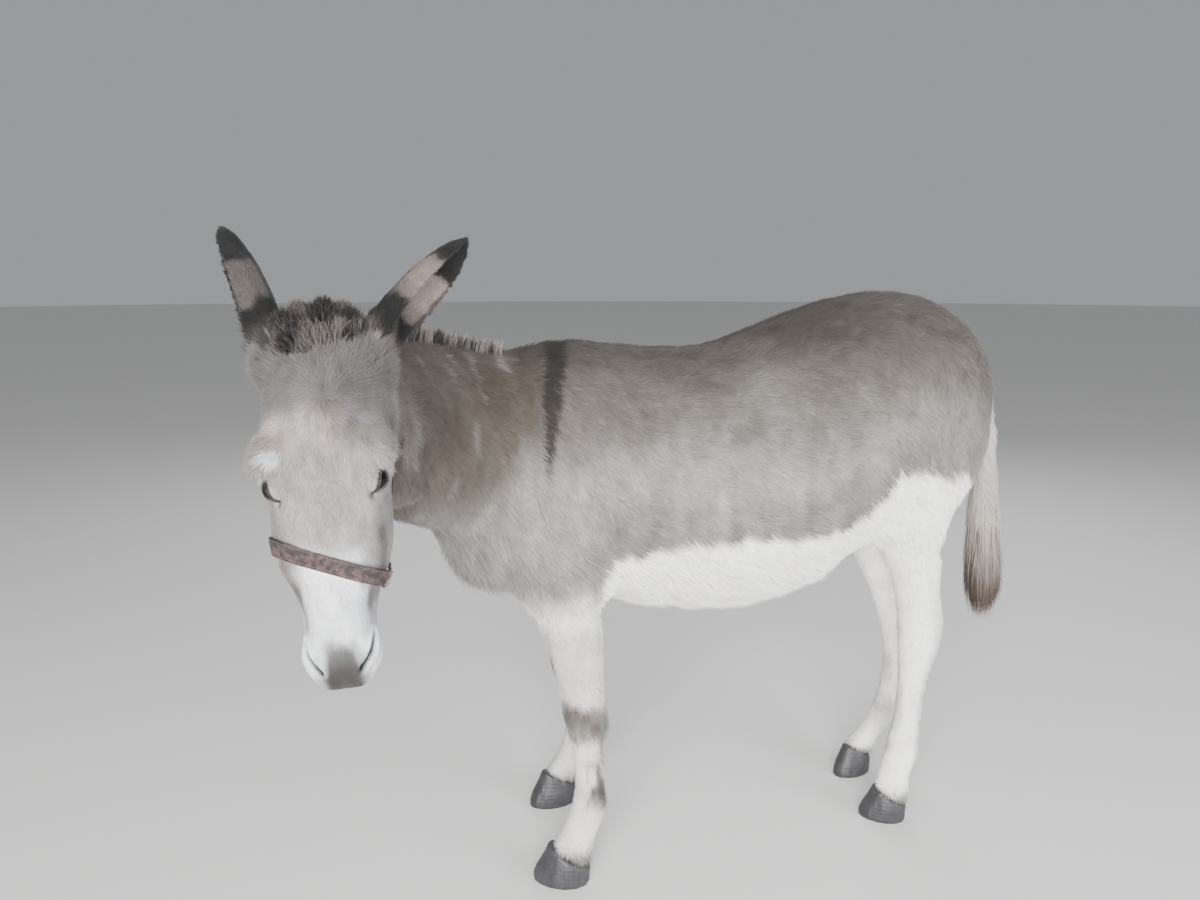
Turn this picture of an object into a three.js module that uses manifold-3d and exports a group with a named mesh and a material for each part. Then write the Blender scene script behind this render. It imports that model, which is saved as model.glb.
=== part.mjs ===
// A life-size standing donkey with its head turned to its left, wearing a halter.
// Millimetres, +Z up. The donkey faces -X, its left side is -Y, and the floor is z = 0.
import * as THREE from 'three';
import { LoftGeometry } from 'three/addons/geometries/LoftGeometry.js';
import { mergeVertices } from 'three/addons/utils/BufferGeometryUtils.js';
import Module from 'manifold-3d';

const wasm = await Module();
wasm.setup();

// ---- Driving dimensions ----------------------------------------------------------------
const GAP = 0.35; // clearance kept between two pieces that touch
const FORE_CUT = 566; // height where a foreleg is parted from the trunk
const HIND_CUT = 640; // height where a hind leg is parted from the trunk
const EYE_RADIUS = 18;
const EAR_LENGTH = 246;
const EAR_WALL = 7;
const MANE_HEIGHT = 36;
const STRAP_THICKNESS = 3.2;
const STRAP_CLEARANCE = 1.3; // keeps the straps' flat steps off the curved head

// Trunk stations from chest to rump: [x, top, bottom, half width, height of the widest level].
const TRUNK = [
  [-235, 860, 735, 72, 800],
  [-200, 940, 672, 112, 800],
  [-150, 1020, 630, 138, 800],
  [-70, 1090, 592, 160, 810],
  [20, 1115, 580, 172, 820],
  [110, 1112, 570, 190, 820],
  [220, 1104, 554, 216, 815],
  [320, 1106, 544, 234, 815],
  [430, 1140, 552, 240, 825],
  [540, 1180, 582, 234, 850],
  [640, 1204, 634, 218, 880],
  [740, 1213, 688, 203, 910],
  [820, 1200, 700, 188, 925],
  [880, 1163, 716, 164, 935],
  [930, 1108, 770, 126, 940],
  [960, 1048, 845, 84, 945],
  [976, 990, 902, 40, 945],
];
const TRUNK_FRONT = TRUNK[0][0];
const TRUNK_REAR = TRUNK[TRUNK.length - 1][0];

// Neck stations along its bend: [x, y, crest height, throat height, half width].
const NECK = [
  [40, 0, 1086, 700, 116],
  [-70, -8, 1092, 705, 118],
  [-165, -55, 1106, 735, 112],
  [-240, -135, 1128, 772, 103],
  [-298, -230, 1144, 804, 95],
  [-348, -330, 1156, 862, 88],
  [-392, -420, 1164, 922, 82],
  [-422, -490, 1166, 975, 76],
];

// Spine of the sections that form trunk and neck, from rump to poll: [x, y, z].
const BACK_LINE = [
  [976, 0, 945],
  [850, 0, 930],
  [600, 0, 885],
  [300, 0, 850],
  [90, 0, 868],
  [-50, -4, 905],
  [-160, -50, 938],
  [-240, -135, 962],
  [-298, -230, 983],
  [-348, -330, 1008],
  [-392, -420, 1038],
];
const NECK_CUT = 0.735; // share of the spine where the neck is parted from the trunk
const NECK_CUT_SLOPE = THREE.MathUtils.degToRad(27); // how far that cut leans back at the withers
const HEAD_CUT = [60, -113]; // a place on the cut behind the head: along it and out of its face
const HEAD_CUT_SLOPE = THREE.MathUtils.degToRad(34.8); // how far that cut leans under the jaw

// Leg stations downwards: [height, x, y, half length, half width, tilt, turn] (degrees).
const FORELEG = [
  [800, -95, -112, 96, 60, 0, 0],
  [700, -30, -122, 102, 60, 0, 0],
  [640, -12, -127, 92, 56, 0, 0],
  [600, -8, -129, 80, 51, 0, 0],
  [540, 5, -131, 61, 45, 0, 0],
  [440, 18, -131, 47, 39, 0, 2],
  [385, 25, -131, 44, 39, 0, 4],
  [345, 31, -131, 45, 42, 0, 6],
  [300, 34, -132, 33, 34, 0, 8],
  [235, 37, -134, 29, 26, 0, 12],
  [190, 39, -136, 32, 28, 0, 16],
  [152, 39, -138, 39, 34, 4, 19],
  [120, 24, -142, 41, 32, 12, 21],
  [92, 8, -147, 43, 33, 20, 22],
  [62, -8, -152, 46, 38, 26, 22],
];
const HINDLEG = [
  [900, 802, -96, 136, 90, 0, 0],
  [800, 768, -104, 128, 92, 0, 0],
  [727, 756, -108, 102, 86, 0, 0],
  [680, 764, -108, 84, 76, 0, 0],
  [640, 778, -107, 71, 65, 0, 0],
  [600, 790, -105, 60, 55, 0, 2],
  [545, 800, -102, 50, 45, 0, 4],
  [500, 807, -99, 46, 39, 0, 8],
  [455, 815, -96, 48, 37, 0, 12],
  [410, 815, -94, 44, 35, 0, 14],
  [360, 810, -94, 35, 28, 0, 16],
  [300, 804, -95, 30, 24, 0, 18],
  [235, 797, -97, 30, 24, 0, 21],
  [190, 791, -98, 35, 28, 0, 24],
  [155, 788, -99, 39, 32, 4, 26],
  [122, 778, -101, 38, 30, 12, 28],
  [92, 769, -103, 39, 31, 20, 28],
  [60, 763, -105, 41, 35, 26, 28],
];
const RIGHT_TURN_SHARE = 0.6; // how far the right toes turn out beside the left ones
// How far back the right legs stand from the mirrored left ones: [height, step].
const RIGHT_FORE_STEP = [[0, 42], [60, 40], [155, 36], [400, 20], [700, 0]];
const RIGHT_HIND_STEP = [
  [0, 26],
  [60, 30],
  [100, 50],
  [155, 74],
  [330, 72],
  [410, 58],
  [480, 38],
  [640, 0],
];

// Head: place of the poll, how far the nose is forward of plumb, the face's turn and its roll.
const POLL = new THREE.Vector3(-437, -462, 1170);
const HEAD_TILT = THREE.MathUtils.degToRad(15.5);
const FACE_TURN = THREE.MathUtils.degToRad(-4.8);
const HEAD_ROLL = THREE.MathUtils.degToRad(3.6);

// Skull and face stations from poll to lips: [s, face, underside, half width].
const FACE = [
  [-24, 0, -40, 34],
  [-8, 20, -62, 56],
  [40, 50, -76, 78],
  [100, 72, -80, 83],
  [170, 82, -76, 87],
  [230, 78, -70, 83],
  [300, 68, -62, 79],
  [350, 60, -56, 68],
  [395, 54, -50, 53],
  [445, 50, -44, 47],
  [476, 44, -36, 44],
  [497, 32, -22, 33],
  [511, 14, -8, 18],
];
// Lower jaw stations: [s, upper, lower, half width].
const JAW = [
  [96, -40, -110, 50],
  [130, -36, -142, 64],
  [170, -36, -154, 66],
  [230, -36, -142, 60],
  [300, -34, -112, 48],
  [360, -30, -84, 37],
  [415, -24, -66, 31],
  [452, -22, -66, 30],
  [480, -18, -54, 24],
  [496, -14, -36, 14],
];

// ---- Small tools -----------------------------------------------------------------------
const UP = new THREE.Vector3(0, 0, 1);

// Reads a table of stations at a position along its first column, on a smooth curve.
function station(table, at) {
  const rising = table[table.length - 1][0] > table[0][0];
  const rows = rising ? table : [...table].reverse();
  const last = rows.length - 1;
  const place = THREE.MathUtils.clamp(at, rows[0][0], rows[last][0]);
  let i = 0;
  while (i < last - 1 && place > rows[i + 1][0]) i += 1;
  const before = rows[Math.max(i - 1, 0)];
  const from = rows[i];
  const to = rows[i + 1];
  const after = rows[Math.min(i + 2, last)];
  const span = to[0] - from[0];
  const t = (place - from[0]) / span;
  return from.map((value, column) => {
    const rise = to[column] - value;
    const left = (to[column] - before[column]) / (to[0] - before[0]) * span;
    const right = (after[column] - value) / (after[0] - from[0]) * span;
    const a = left - rise;
    const b = rise - right;
    return value + rise * t + t * (1 - t) * (a * (1 - t) + b * t);
  });
}

// Joins two distances to a surface with a rounded fillet.
function blend(a, b, fillet) {
  const share = Math.max(fillet - Math.abs(a - b), 0) / fillet;
  return Math.min(a, b) - share * share * fillet * 0.25;
}

// Distance outside an oval with its own half sizes and fullness.
function oval(across, up, halfAcross, halfUp, fullness) {
  const a = Math.abs(across) / Math.max(halfAcross, 1);
  const b = Math.abs(up) / Math.max(halfUp, 1);
  const reach = (a ** fullness + b ** fullness) ** (1 / fullness);
  return (reach - 1) * Math.min(halfAcross, halfUp);
}

// Distance outside an egg-shaped muscle that leans in the X-Z plane.
function muscle(p, centre, half, lean) {
  const turn = THREE.MathUtils.degToRad(lean);
  const dx = p.x - centre[0];
  const dz = p.z - centre[2];
  const x = (dx * Math.cos(turn) + dz * Math.sin(turn)) / half[0];
  const y = (p.y - centre[1]) / half[1];
  const z = (dz * Math.cos(turn) - dx * Math.sin(turn)) / half[2];
  return (Math.hypot(x, y, z) - 1) * Math.min(...half);
}

// ---- The body as one rounded form ------------------------------------------------------
function trunkForm(p) {
  const [, top, bottom, half, middle] = station(TRUNK, p.x);
  const up = p.z - middle;
  const halfUp = up > 0 ? top - middle : middle - bottom;
  const pinch = THREE.MathUtils.smoothstep(p.x, 250, 700);
  const fullness = up > 0 ? 1.75 + 0.45 * pinch : 2.35;
  const section = oval(p.y, up, half, halfUp, fullness);
  const beyond = Math.max(TRUNK_FRONT - p.x, p.x - TRUNK_REAR);
  return Math.max(section, beyond);
}

const neckPath = NECK.map(([x, y]) => new THREE.Vector2(x, y));

function neckForm(p) {
  const here = new THREE.Vector2(p.x, p.y);
  let nearest = { apart: Infinity };
  for (let i = 0; i < NECK.length - 1; i += 1) {
    const from = neckPath[i];
    const along = neckPath[i + 1].clone().sub(from);
    const offset = here.clone().sub(from);
    const share = THREE.MathUtils.clamp(offset.dot(along) / along.lengthSq(), 0, 1);
    const apart = offset.sub(along.clone().multiplyScalar(share)).length();
    if (apart < nearest.apart) nearest = { apart, share, i };
  }
  const a = NECK[nearest.i];
  const b = NECK[nearest.i + 1];
  const row = a.map((value, k) => THREE.MathUtils.lerp(value, b[k], nearest.share));
  const [, , crest, throat, half] = row;
  const middle = throat + (crest - throat) * 0.46;
  const up = p.z - middle;
  const halfUp = up > 0 ? crest - middle : middle - throat;
  return oval(nearest.apart, up, half, halfUp, up > 0 ? 1.7 : 2.1);
}

// A leg's centre at a height. The right leg mirrors the left one and stands a step apart.
function legStation(table, side, step, z) {
  const row = station(table, z);
  const shift = side > 0 ? station(step, z)[1] : 0;
  return {
    x: row[1] + shift,
    y: -side * row[2],
    long: row[3],
    wide: row[4],
    tilt: THREE.MathUtils.degToRad(row[5]),
    turn: THREE.MathUtils.degToRad(row[6]) * (side > 0 ? -RIGHT_TURN_SHARE : 1),
  };
}

function legForm(table, side, step, p) {
  const leg = legStation(table, side, step, p.z);
  const dx = p.x - leg.x;
  const dy = p.y - leg.y;
  const fore = dx * Math.cos(leg.turn) - dy * Math.sin(leg.turn);
  const across = dy * Math.cos(leg.turn) + dx * Math.sin(leg.turn);
  const above = p.z - table[0][0];
  return Math.max(oval(fore, across, leg.long, leg.wide, 2.15), above);
}

function shoulderForm(side, p) {
  const blade = muscle(p, [-62, side * 92, 870], [92, 78, 205], -24);
  const point = muscle(p, [-168, side * 98, 760], [66, 58, 86], 20);
  const chest = muscle(p, [-175, side * 52, 712], [62, 62, 84], 12);
  return blend(blend(blade, point, 50), chest, 40);
}

function haunchForm(side, p) {
  const croup = muscle(p, [788, side * 86, 1030], [160, 100, 134], -18);
  const seat = muscle(p, [862, side * 76, 905], [82, 80, 132], 14);
  const flank = muscle(p, [706, side * 140, 770], [54, 44, 80], 16);
  return blend(blend(croup, seat, 60), flank, 40);
}

const HOCK_HEIGHT = 462;
const KNEE_HEIGHT = 330;

function hockForm(side, p) {
  const leg = legStation(HINDLEG, side, RIGHT_HIND_STEP, HOCK_HEIGHT);
  const point = muscle(p, [leg.x + 40, leg.y, HOCK_HEIGHT + 4], [20, 19, 34], -10);
  const sinew = muscle(p, [leg.x + 34, leg.y, HOCK_HEIGHT + 58], [12, 12, 60], -4);
  return blend(point, sinew, 16);
}

function kneeForm(side, p) {
  const leg = legStation(FORELEG, side, RIGHT_FORE_STEP, KNEE_HEIGHT);
  return muscle(p, [leg.x + 29, leg.y, KNEE_HEIGHT], [15, 19, 26], 0);
}

const LEG_FILLET = 22;
const LEGS = [
  { name: 'foreleg_left', table: FORELEG, side: -1, step: RIGHT_FORE_STEP, cut: FORE_CUT },
  { name: 'foreleg_right', table: FORELEG, side: 1, step: RIGHT_FORE_STEP, cut: FORE_CUT },
  { name: 'hindleg_left', table: HINDLEG, side: -1, step: RIGHT_HIND_STEP, cut: HIND_CUT },
  { name: 'hindleg_right', table: HINDLEG, side: 1, step: RIGHT_HIND_STEP, cut: HIND_CUT },
];

function torsoForm(p) {
  let form = blend(trunkForm(p), neckForm(p), 44);
  for (const side of [-1, 1]) {
    form = blend(form, shoulderForm(side, p), 45);
    form = blend(form, haunchForm(side, p), 45);
  }
  return form;
}

function bodyForm(p) {
  let form = torsoForm(p);
  for (const { table, side, step } of LEGS) {
    let leg = legForm(table, side, step, p);
    if (table === HINDLEG) leg = blend(leg, hockForm(side, p), 14);
    else leg = blend(leg, kneeForm(side, p), 12);
    form = blend(form, leg, LEG_FILLET);
  }
  return form;
}

// ---- The head as one rounded form, in its own axes -------------------------------------
// s runs from poll to lips, u to the donkey's left and v out of the face.
const headFace = new THREE.Vector3(0, -Math.cos(HEAD_TILT), Math.sin(HEAD_TILT));
const headDown = new THREE.Vector3(0, -Math.sin(HEAD_TILT), -Math.cos(HEAD_TILT));
headFace.applyAxisAngle(UP, FACE_TURN);
headDown.applyAxisAngle(UP, FACE_TURN).applyAxisAngle(headFace, HEAD_ROLL);
const headLeft = new THREE.Vector3().crossVectors(headFace, headDown);

function headPoint(s, u, v) {
  return POLL.clone()
    .addScaledVector(headDown, s)
    .addScaledVector(headLeft, u)
    .addScaledVector(headFace, v);
}

function headAxes(p) {
  const d = p.clone().sub(POLL);
  return { s: d.dot(headDown), u: d.dot(headLeft), v: d.dot(headFace) };
}

function bump(q, centre, half) {
  const s = (q.s - centre[0]) / half[0];
  const u = (Math.abs(q.u) - centre[1]) / half[1];
  const v = (q.v - centre[2]) / half[2];
  return (Math.hypot(s, u, v) - 1) * Math.min(...half);
}

function endTaper(q, table) {
  return Math.max(table[0][0] - q.s, q.s - table[table.length - 1][0]);
}

function headForm(p) {
  const q = headAxes(p);
  const [, face, under, half] = station(FACE, q.s);
  const middle = under + (face - under) * 0.42;
  const up = q.v - middle;
  const flat = THREE.MathUtils.smoothstep(q.s, 60, 240);
  const halfUp = up > 0 ? face - middle : middle - under;
  const fullness = up > 0 ? 2.2 + 0.35 * flat : 2.3;
  const upper = oval(q.u, up, half, halfUp, fullness);
  const skull = Math.max(upper, endTaper(q, FACE));
  const [, roof, chin, jawHalf] = station(JAW, q.s);
  const jawMiddle = (roof + chin) / 2;
  const lower = oval(q.u, q.v - jawMiddle, jawHalf, (roof - chin) / 2, 2.5);
  const jaw = Math.max(lower, endTaper(q, JAW));
  let form = blend(skull, jaw, 26);
  form = blend(form, bump(q, [40, 70, -22], [42, 28, 34]), 18);
  form = blend(form, bump(q, [184, 77, 38], [46, 23, 32]), 16);
  form = blend(form, bump(q, [190, 62, -70], [66, 20, 62]), 20);
  form = blend(form, bump(q, [285, 68, 4], [56, 14, 16]), 18);
  form = blend(form, bump(q, [462, 38, 14], [26, 14, 24]), 14);
  form = blend(form, bump(q, [486, 14, 8], [24, 20, 24]), 16);
  form = blend(form, bump(q, [472, 10, -50], [24, 18, 18]), 14);
  return form;
}

// The whole body but its legs. The head counts only on the near side of `HEAD_REACH`.
const HEAD_REACH = -250;
const HEAD_FILLET = 30;

function fleshForm(p) {
  const torso = torsoForm(p);
  return p.y > HEAD_REACH ? torso : blend(torso, headForm(p), HEAD_FILLET);
}

// ---- Sections cast onto a form ---------------------------------------------------------
// First place along a ray, out from a point inside, where the form is left.
function castOut(form, from, way, reach, level) {
  const stride = 9;
  let inside = 0;
  let outside = reach;
  for (let t = stride; t < reach; t += stride) {
    const value = form(from.clone().addScaledVector(way, t)) - level;
    if (value > 0) {
      outside = t;
      break;
    }
    inside = t;
  }
  if (outside === reach) return reach;
  for (let i = 0; i < 12; i += 1) {
    const middle = (inside + outside) / 2;
    if (form(from.clone().addScaledVector(way, middle)) - level > 0) outside = middle;
    else inside = middle;
  }
  return (inside + outside) / 2;
}

// One closed section: rays fan out in the plane of `first` and `second`, closer together
// along `first` by the given crowding.
function castSection(form, centre, first, second, count, { reach = 200, level = 0, crowd = 0 } = {}) {
  const points = [];
  for (let i = 0; i < count; i += 1) {
    const even = (i / count) * Math.PI * 2;
    const angle = even - crowd * Math.sin(2 * even);
    const way = first.clone().multiplyScalar(Math.cos(angle)).addScaledVector(second, Math.sin(angle));
    points.push(centre.clone().addScaledVector(way, castOut(form, centre, way, reach, level)));
  }
  return points;
}

// ---- Solids ----------------------------------------------------------------------------
function solid(geometry) {
  const bare = new THREE.BufferGeometry().copy(geometry);
  bare.deleteAttribute('normal');
  bare.deleteAttribute('uv');
  const merged = mergeVertices(bare, 1e-4);
  return new wasm.Manifold(new wasm.Mesh({
    numProp: 3,
    vertProperties: new Float32Array(merged.attributes.position.array),
    triVerts: new Uint32Array(merged.index.array),
  }));
}

function geometryOf(manifold) {
  const mesh = manifold.getMesh();
  const geometry = new THREE.BufferGeometry();
  const places = new Float32Array(mesh.vertProperties);
  geometry.setAttribute('position', new THREE.BufferAttribute(places, 3));
  geometry.setIndex(new THREE.BufferAttribute(new Uint32Array(mesh.triVerts), 1));
  geometry.computeVertexNormals();
  return geometry;
}

// Twice the area of a section, as a vector square to it.
function sectionNormal(points) {
  const normal = new THREE.Vector3();
  points.forEach((point, i) => {
    normal.add(new THREE.Vector3().crossVectors(point, points[(i + 1) % points.length]));
  });
  return normal;
}

function centreOf(points) {
  const sum = points.reduce((total, point) => total.add(point), new THREE.Vector3());
  return sum.divideScalar(points.length);
}

// A closed solid through its sections, whichever way round their points run.
function loft(sections) {
  const middle = Math.floor(sections.length / 2);
  const along = centreOf(sections[middle]).sub(centreOf(sections[middle - 1]));
  const turned = sectionNormal(sections[middle]).dot(along) < 0;
  const rings = turned ? sections.map((points) => [...points].reverse()) : sections;
  return solid(new LoftGeometry(rings, { closed: true, capStart: true, capEnd: true }));
}

// A block between two corners.
function block(low, high) {
  const size = high.map((value, i) => value - low[i]);
  const box = new THREE.BoxGeometry(...size);
  box.translate(...low.map((value, i) => value + size[i] / 2));
  return solid(box);
}

// A large block that fills one side of a plane.
function halfSpace(point, normal) {
  const extent = 5000;
  const box = new THREE.BoxGeometry(extent, extent, extent);
  box.translate(0, 0, extent / 2);
  const turn = new THREE.Quaternion().setFromUnitVectors(new THREE.Vector3(0, 0, 1), normal);
  box.applyQuaternion(turn);
  box.translate(point.x, point.y, point.z);
  return solid(box);
}

// ---- Trunk and neck --------------------------------------------------------------------
const spinePlaces = BACK_LINE.map((at) => new THREE.Vector3(...at));
const spine = new THREE.CatmullRomCurve3(spinePlaces, false, 'centripetal');
const SPINE_START = 0.0035; // share of the spine where the first section stands
const SPINE_REACH = 420;
const SPINE_SECTIONS = 46;
const SPINE_RAYS = 28;
const SPINE_CROWDING = 0.2; // how much closer the rays stand along the back and belly
const RUMP_SHARE = 0.12; // first share of the spine, where the sections stand closer together
const LEG_TOP_OVERLAP = 45; // how far the trunk keeps a leg's form below its cut
function spineFrame(share) {
  const at = spine.getPointAt(share);
  const along = spine.getTangentAt(share).setZ(0).normalize();
  const side = new THREE.Vector3().crossVectors(UP, along);
  return { at, along, side };
}

// The legs' tops belong to the trunk only down to a little below their cuts.
function torsoWithLegTops(p) {
  let form = fleshForm(p);
  for (const { table, side, step, cut } of LEGS) {
    const top = Math.max(legForm(table, side, step, p), cut - LEG_TOP_OVERLAP - p.z);
    form = blend(form, top, LEG_FILLET);
  }
  return form;
}

function torsoSolid(level) {
  const sections = [];
  for (let i = 0; i <= SPINE_SECTIONS; i += 1) {
    const t = i / SPINE_SECTIONS;
    const eased = t < RUMP_SHARE ? t * (t / RUMP_SHARE + 1) / 2 : t;
    const { at, side } = spineFrame(Math.min(SPINE_START + (1 - SPINE_START) * eased, 1));
    const options = { reach: SPINE_REACH, level, crowd: SPINE_CROWDING };
    sections.push(castSection(torsoWithLegTops, at, UP, side, SPINE_RAYS, options));
  }
  return loft(sections);
}

// The block under a leg's cut, which the leg's own node fills.
function legTrim({ table, side, step, cut }) {
  const leg = legStation(table, side, step, cut);
  const outer = 320;
  const spare = 40;
  const near = side < 0 ? -outer : 0;
  return block([leg.x - leg.long - spare, near, 0], [leg.x + leg.long + spare, near + outer, cut]);
}

const neckCut = spineFrame(NECK_CUT);
const neckWay = neckCut.along.clone().multiplyScalar(Math.cos(NECK_CUT_SLOPE));
neckWay.addScaledVector(UP, Math.sin(NECK_CUT_SLOPE));
const headWay = headFace.clone().multiplyScalar(Math.cos(HEAD_CUT_SLOPE));
headWay.addScaledVector(headDown, Math.sin(HEAD_CUT_SLOPE));
const headCut = headPoint(HEAD_CUT[0], 0, HEAD_CUT[1]);

// One side of a cut, half a gap away from it.
function sideOf(point, way, sign) {
  const from = point.clone().addScaledVector(way, sign * GAP / 2);
  return halfSpace(from, way.clone().multiplyScalar(sign));
}

const torso = LEGS.reduce((body, leg) => body.subtract(legTrim(leg)), torsoSolid(0));
const trunk = torso.intersect(sideOf(neckCut.at, neckWay, -1));
const neck = torso.intersect(sideOf(neckCut.at, neckWay, 1)).intersect(sideOf(headCut, headWay, -1));

// ---- Legs and hooves -------------------------------------------------------------------
const LEG_RAYS = 14;
const LEG_DETAIL_ABOVE = 320; // above this height a leg has extra sections
const HOOF_RAYS = 14;
const HIND_HOOF_SIZE = 0.88; // beside a fore hoof
// Hoof rings from the sole up: [share of the height, half length, half width, shift forward].
const HOOF = [
  [0, 60, 40, -17],
  [0.12, 60.5, 40.5, -16.5],
  [0.55, 53, 39.5, -9],
  [1, 47, 38, 0],
];

function legAxes(leg) {
  const fore = new THREE.Vector3(Math.cos(leg.turn), -Math.sin(leg.turn), 0);
  const across = new THREE.Vector3(Math.sin(leg.turn), Math.cos(leg.turn), 0);
  const tilted = fore.clone().multiplyScalar(Math.cos(leg.tilt)).addScaledVector(UP, -Math.sin(leg.tilt));
  return { fore, across, tilted };
}

function legSolid({ table, side, step, cut }) {
  const levels = table.map((row) => row[0]).filter((z) => z < cut - 12);
  const halfway = levels.slice(1).map((z, i) => (z + levels[i]) / 2);
  const extra = halfway.filter((z) => z > LEG_DETAIL_ABOVE);
  const heights = [cut - GAP, ...levels, ...extra].sort((a, b) => b - a);
  const sections = heights.map((z) => {
    const leg = legStation(table, side, step, z);
    const { across, tilted } = legAxes(leg);
    return castSection(bodyForm, new THREE.Vector3(leg.x, leg.y, z), tilted, across, LEG_RAYS);
  });
  return loft(sections);
}

// A hoof stands under its leg's slanting end, with a flat sole on the floor.
function hoofSolid({ table, side, step }) {
  const size = table === FORELEG ? 1 : HIND_HOOF_SIZE;
  const height = table[table.length - 1][0];
  const ankle = legStation(table, side, step, height);
  const { fore, across } = legAxes(ankle);
  const top = new THREE.Vector3(ankle.x, ankle.y, height);
  const sections = HOOF.map(([rise, long, wide, shift]) => {
    const points = [];
    for (let i = 0; i < HOOF_RAYS; i += 1) {
      const angle = (i / HOOF_RAYS) * Math.PI * 2;
      const along = (Math.cos(angle) * long + shift) * size;
      const over = Math.sin(angle) * wide * size * (1 + 0.1 * Math.cos(angle));
      const point = top.clone().addScaledVector(fore, along).addScaledVector(across, over);
      point.z = (height - Math.tan(ankle.tilt) * along - GAP) * rise;
      points.push(point);
    }
    return points;
  });
  return loft(sections);
}

// ---- Head, eyes and ears ---------------------------------------------------------------
const HEAD_SECTIONS = 28;
const HEAD_RAYS = 24;
const HEAD_CAST_REACH = 260;
const EYE_PLACE = [225, 64, 41];
const EYE_PARTS = [10, 7]; // facets round the eyeball and from pole to pole

function headSolid(level) {
  const sections = [];
  const start = FACE[0][0] + 1;
  const end = FACE[FACE.length - 1][0] - 0.5;
  for (let i = 0; i <= HEAD_SECTIONS; i += 1) {
    const t = i / HEAD_SECTIONS;
    const s = THREE.MathUtils.lerp(start, end, t - Math.sin(t * Math.PI * 2) * 0.06);
    const [, face, under] = station(FACE, s);
    const centre = headPoint(s, 0, under + (face - under) * 0.4);
    const options = { reach: HEAD_CAST_REACH, level };
    sections.push(castSection(fleshForm, centre, headFace, headLeft, HEAD_RAYS, options));
  }
  return loft(sections);
}

function eyeGeometry(side, radius) {
  const eye = new THREE.SphereGeometry(radius, ...EYE_PARTS);
  const [s, u, v] = EYE_PLACE;
  const at = headPoint(s, u * side, v);
  eye.translate(at.x, at.y, at.z);
  return eye;
}

// Ear stations from base to tip: [share, half width, depth, hollow depth share].
const EAR = [
  [0, 26, 50, 0.04],
  [0.14, 27, 49, 0.1],
  [0.28, 32, 48, 0.6],
  [0.45, 35, 46, 0.74],
  [0.65, 33, 41, 0.76],
  [0.82, 26, 33, 0.74],
  [0.93, 17, 23, 0.6],
  [1, 6, 9, 0.2],
];
const EAR_ROOT = [24, 64, -20];
const EAR_SPREAD = { left: 0.95, right: 0.36 }; // how far each leans out
const EAR_LEAN_BACK = 0.42;
const EAR_BOW = 5.6; // how far its back bows out halfway up
const EAR_ARC = Math.PI * 1.12;
const EAR_ARC_PARTS = 6;
const EAR_ROWS = 10;

// An ear is a cupped shell whose mouth faces outwards.
function earSolid(side) {
  const [s, u, v] = EAR_ROOT;
  const root = headPoint(s, side * u, v);
  const spread = side > 0 ? EAR_SPREAD.left : EAR_SPREAD.right;
  const way = headDown.clone().negate().addScaledVector(headLeft, side * spread);
  way.addScaledVector(headFace, -EAR_LEAN_BACK).normalize();
  const mouth = headLeft.clone().multiplyScalar(side).addScaledVector(headFace, 0.1);
  mouth.addScaledVector(way, -mouth.dot(way)).normalize();
  const across = new THREE.Vector3().crossVectors(way, mouth);
  const sections = [];
  for (let i = 0; i <= EAR_ROWS; i += 1) {
    const t = i / EAR_ROWS;
    const [, half, depth, hollow] = station(EAR, t);
    const wall = Math.min(EAR_WALL, half * 0.35);
    const centre = root.clone().addScaledVector(way, t * EAR_LENGTH);
    centre.addScaledVector(mouth, depth / 2 - EAR_BOW * Math.sin(t * Math.PI));
    const outer = [];
    const inner = [];
    for (let k = 0; k <= EAR_ARC_PARTS; k += 1) {
      const angle = (k / EAR_ARC_PARTS - 0.5) * EAR_ARC;
      const out = Math.cos(angle) * depth;
      const dip = Math.max(out - wall, 0.2) * hollow;
      const back = centre.clone().addScaledVector(mouth, -out);
      outer.push(back.addScaledVector(across, Math.sin(angle) * half));
      const front = centre.clone().addScaledVector(mouth, 1 - dip);
      inner.push(front.addScaledVector(across, Math.sin(angle) * (half - wall * 0.62)));
    }
    sections.push([...outer, ...inner.reverse()]);
  }
  return loft(sections);
}

// ---- Tail, mane and forelock -----------------------------------------------------------
// Tail stations downwards: [x, z, half width fore and aft, half width across].
const TAIL = [
  [944, 1046, 20, 22],
  [974, 1022, 26, 30],
  [1000, 968, 28, 33],
  [1013, 900, 28, 32],
  [1020, 820, 29, 33],
  [1028, 740, 33, 38],
  [1035, 660, 41, 46],
  [1042, 580, 47, 52],
  [1047, 500, 46, 50],
  [1047, 440, 34, 38],
  [1045, 404, 10, 12],
];
const TAIL_PARTING = 6; // station where the long switch begins
const TAIL_RAYS = 10;

function tailSection(i, lift) {
  const [x, z, fore, wide] = TAIL[i];
  const before = TAIL[Math.max(i - 1, 0)];
  const after = TAIL[Math.min(i + 1, TAIL.length - 1)];
  const along = new THREE.Vector3(after[0] - before[0], 0, after[1] - before[1]).normalize();
  const out = new THREE.Vector3(-along.z, 0, along.x);
  const centre = new THREE.Vector3(x, 0, z).addScaledVector(along, lift);
  const points = [];
  for (let k = 0; k < TAIL_RAYS; k += 1) {
    const angle = (k / TAIL_RAYS) * Math.PI * 2;
    const point = centre.clone().addScaledVector(out, Math.cos(angle) * fore);
    point.y += Math.sin(angle) * wide;
    points.push(point);
  }
  return points;
}

function tailSolid(first, last, lift) {
  const sections = [];
  for (let i = first; i <= last; i += 1) sections.push(tailSection(i, i === first ? lift : 0));
  return loft(sections);
}

// The mane stands on the crest from the withers to the poll.
const MANE_FROM = 0.7;
const MANE_TO = 0.985;
const MANE_PARTS = 11;
const MANE_FOOT = -16; // depth at which it starts inside the crest
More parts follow.
